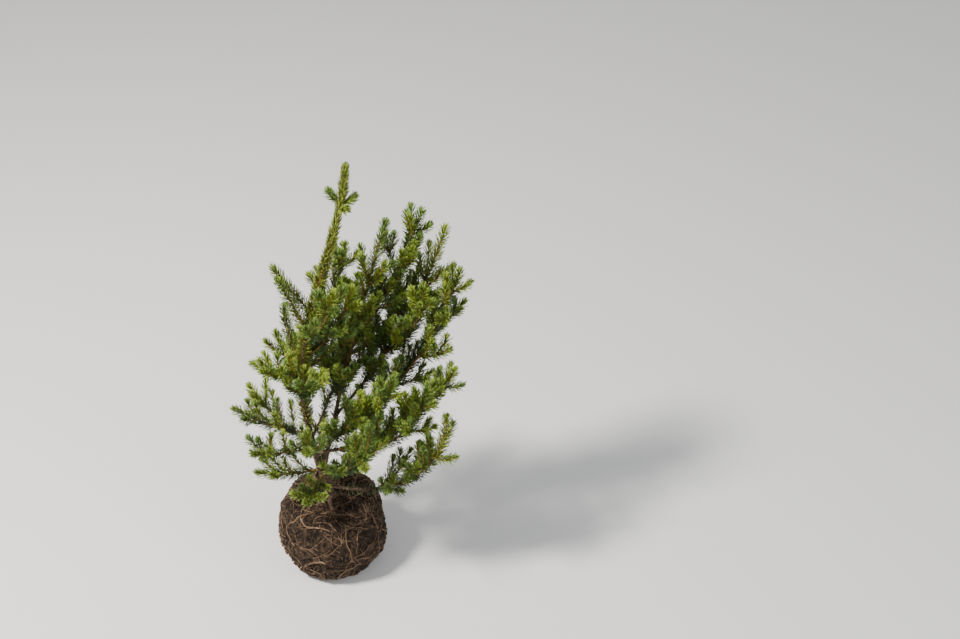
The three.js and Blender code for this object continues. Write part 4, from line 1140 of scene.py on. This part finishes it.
# Leader needles. Those on the trunk lie closer to it, thick on last year's long shoot and crowded round its
# tip, and are olive green.
LEADER_NEEDLES = (
    # height on the trunk, and there the degrees from it, the length, and the needles a millimetre
    (142, 54, 14, 3), (380, 48, 14, 5.3), (430, 43, 14, 5.4), (480, 37, 13.5, 4.8), (515, 28, 13, 4.2),
    (530, 31, 12.5, 3.7), (549, 40, 12.5, 4), (574, 42, 12, 4.6), (586, 32, 10.5, 6), (590, 14, 8.5, 8),
)
LEADER_STEPS = 400
LEADER_ROLL_VARIETY = 0.2
LEADER_SPREAD_VARIETY = 6  # degrees
LEADER_LENGTH_VARIETY = (0.8, 1.1)
LEADER_TONE = ((0.044, 0.069, 0.007), (0.46, 0.54, 0.065))

heights, spreads, lengths, per_mm = zip(*LEADER_NEEDLES)
steps = np.linspace(heights[0], TREE_HEIGHT, LEADER_STEPS)
needles_below = np.cumsum(np.interp(steps, heights, per_mm)) * (steps[1] - steps[0])
count = int(needles_below[-1])
height = np.interp(np.arange(count) + chance.uniform(0, 1, count), needles_below, steps)
roll = np.arange(count) * GOLDEN_ANGLE + chance.normal(0, LEADER_ROLL_VARIETY, count)
spread = np.interp(height, heights, spreads) + chance.normal(0, LEADER_SPREAD_VARIETY, count)
length = np.interp(height, heights, lengths) * chance.uniform(*LEADER_LENGTH_VARIETY, count)
leader_shape = needle_shape(needle_rows(trunk_run(height), np.radians(spread), roll, length), chance)
leader_material = needle_material("needles_leader", *LEADER_TONE)
leader_nodes = ["foliage_" + name for name, *_ in SLEEVES]
new_piece("needles_leader", [leader_shape], leader_material, leader_nodes)

# Buds. A pointed orange-brown bud closes every shoot, ringed by its scales. It is an oval drawn to a point
# that starts a millimetre inside the shoot's tip.
BUD_LENGTH = 4.6
BUD_RADIUS = 1.35
BUD_SIZES = (0.62, 0.85, 1.1)  # share of those sizes on a short shoot, a long one, and the leader
LONG_SHOOT = 30
BUD_SCALES = (4, 0.07)  # rings of them, and the share of its radius that they stand out
BUD_STEPS = 9
BUD_ENDS = (0.06, 0.94)  # share of its length at its first step and its last
BUD_POINT = 1.05  # and at its point
BUD_SIDES = 8
BUD_COLOURS = ((0.3, (0.16, 0.07, 0.02)), (0.55, (0.32, 0.16, 0.05)), (0.8, (0.48, 0.28, 0.10)))


def bud_shapes(foot, along, across, size):
    """Buds as ovals drawn to a point: radius sin(pi t^0.6)^0.7 at share t, stepped by rings of scales."""
    t = np.linspace(*BUD_ENDS, BUD_STEPS)
    rings, stand_out = BUD_SCALES
    oval = np.sin(np.pi * t**0.6) ** 0.7 * (1 + stand_out * np.sin(2 * np.pi * rings * t))
    path = foot[:, None] + (BUD_LENGTH * size)[:, None, None] * t[:, None] * along[:, None]
    radii = np.repeat((BUD_RADIUS * size)[:, None, None] * oval[None, :, None], BUD_SIDES, axis=2)
    ends = np.array([[0], [BUD_POINT]])
    poles = foot[:, None] + ends * (BUD_LENGTH * size)[:, None, None] * along[:, None]
    return swept(path, np.repeat(across[:, None], BUD_STEPS, axis=1), radii, poles)


limbs = np.concatenate([branches, side_shoots, fine_twigs])
centre, along, across, _ = limb_run(limbs, np.ones(len(limbs)))
size = np.where(limbs["length"] > LONG_SHOOT, BUD_SIZES[1], BUD_SIZES[0])
top, top_along, top_across, _ = trunk_run(np.array([float(TREE_HEIGHT)]))
buds = [
    bud_shapes(centre - along, along, across, size),
    bud_shapes(top - top_along, top_along, top_across, np.array(BUD_SIZES[2:])),
]
bud_material = bark_material("bud_scales", BUD_COLOURS, roughness=0.5)
new_piece("buds", buds, bud_material, foliage_nodes)

# Studio. A pale floor, a soft light from the upper left, a weaker and larger one from the right, and pale
# air. Sizes and places are in metres, and powers in watts.
FLOOR_SIZE = 12
FLOOR_COLOUR = (0.8, 0.79, 0.77)
LIGHTS = (
    # name, place, width, power and colour
    ("key_light", (-1.3, -0.6, 2.3), 0.4, 125, (1, 0.97, 0.92)),
    ("fill_light", (2.0, -1.2, 1.6), 1.6, 20, (0.92, 0.96, 1)),
)
LIT_PLACE = Vector((0, 0, 0.35))
AIR_COLOUR = (0.95, 0.97, 1, 1)
AIR_STRENGTH = 0.55

floor_mesh = bpy.data.meshes.new("floor")
edge = FLOOR_SIZE / 2
floor_corners = [(-edge, -edge, 0), (edge, -edge, 0), (edge, edge, 0), (-edge, edge, 0)]
floor_mesh.from_pydata(floor_corners, [], [(0, 1, 2, 3)])
floor_material, _, floor_shader = new_material("pale_floor", roughness=0.9, specular=0.2)
floor_shader.inputs["Base Color"].default_value = (*FLOOR_COLOUR, 1)
floor_mesh.materials.append(floor_material)
floor = bpy.data.objects.new("floor", floor_mesh)
bpy.context.scene.collection.objects.link(floor)

for name, place, width, power, colour in LIGHTS:
    light_data = bpy.data.lights.new(name, "AREA")
    light_data.size = width
    light_data.energy = power
    light_data.color = colour
    light = bpy.data.objects.new(name, light_data)
    light.location = place
    light.rotation_euler = (LIT_PLACE - Vector(place)).to_track_quat("-Z", "Y").to_euler()
    bpy.context.scene.collection.objects.link(light)

world = bpy.data.worlds.new("world")
world.use_nodes = True
air = world.node_tree.nodes["Background"]
air.inputs["Color"].default_value = AIR_COLOUR
air.inputs["Strength"].default_value = AIR_STRENGTH
bpy.context.scene.world = world

# Camera. It looks down on the sapling from the front, as the photograph does, and the collar, where the stem
# leaves the soil, falls on the same pixel at the same distance. Metres and pixels.
PICTURE_SIZE = (960, 639)
LENS = 50
SENSOR_WIDTH = 36
LOOK_DOWN = math.radians(38)
COLLAR_PIXEL = (330, 495)
COLLAR_DISTANCE = 2.052
FARTHEST = 50

view_ahead = Vector((0, math.cos(LOOK_DOWN), -math.sin(LOOK_DOWN)))
view_up = Vector((0, math.sin(LOOK_DOWN), math.cos(LOOK_DOWN)))
pixel = COLLAR_DISTANCE / (LENS / SENSOR_WIDTH * PICTURE_SIZE[0])
collar_right = (COLLAR_PIXEL[0] - PICTURE_SIZE[0] / 2) * pixel
collar_up = (PICTURE_SIZE[1] / 2 - COLLAR_PIXEL[1]) * pixel
collar = Vector((0, 0, BALL_HEIGHT * MM))
camera_data = bpy.data.cameras.new("camera")
camera_data.lens = LENS
camera_data.sensor_width = SENSOR_WIDTH
camera_data.clip_end = FARTHEST
camera = bpy.data.objects.new("camera", camera_data)
camera.location = collar - view_ahead * COLLAR_DISTANCE - Vector((collar_right, 0, 0)) - view_up * collar_up
camera.rotation_euler = (math.pi / 2 - LOOK_DOWN, 0, 0)
bpy.context.scene.collection.objects.link(camera)
bpy.context.scene.camera = camera
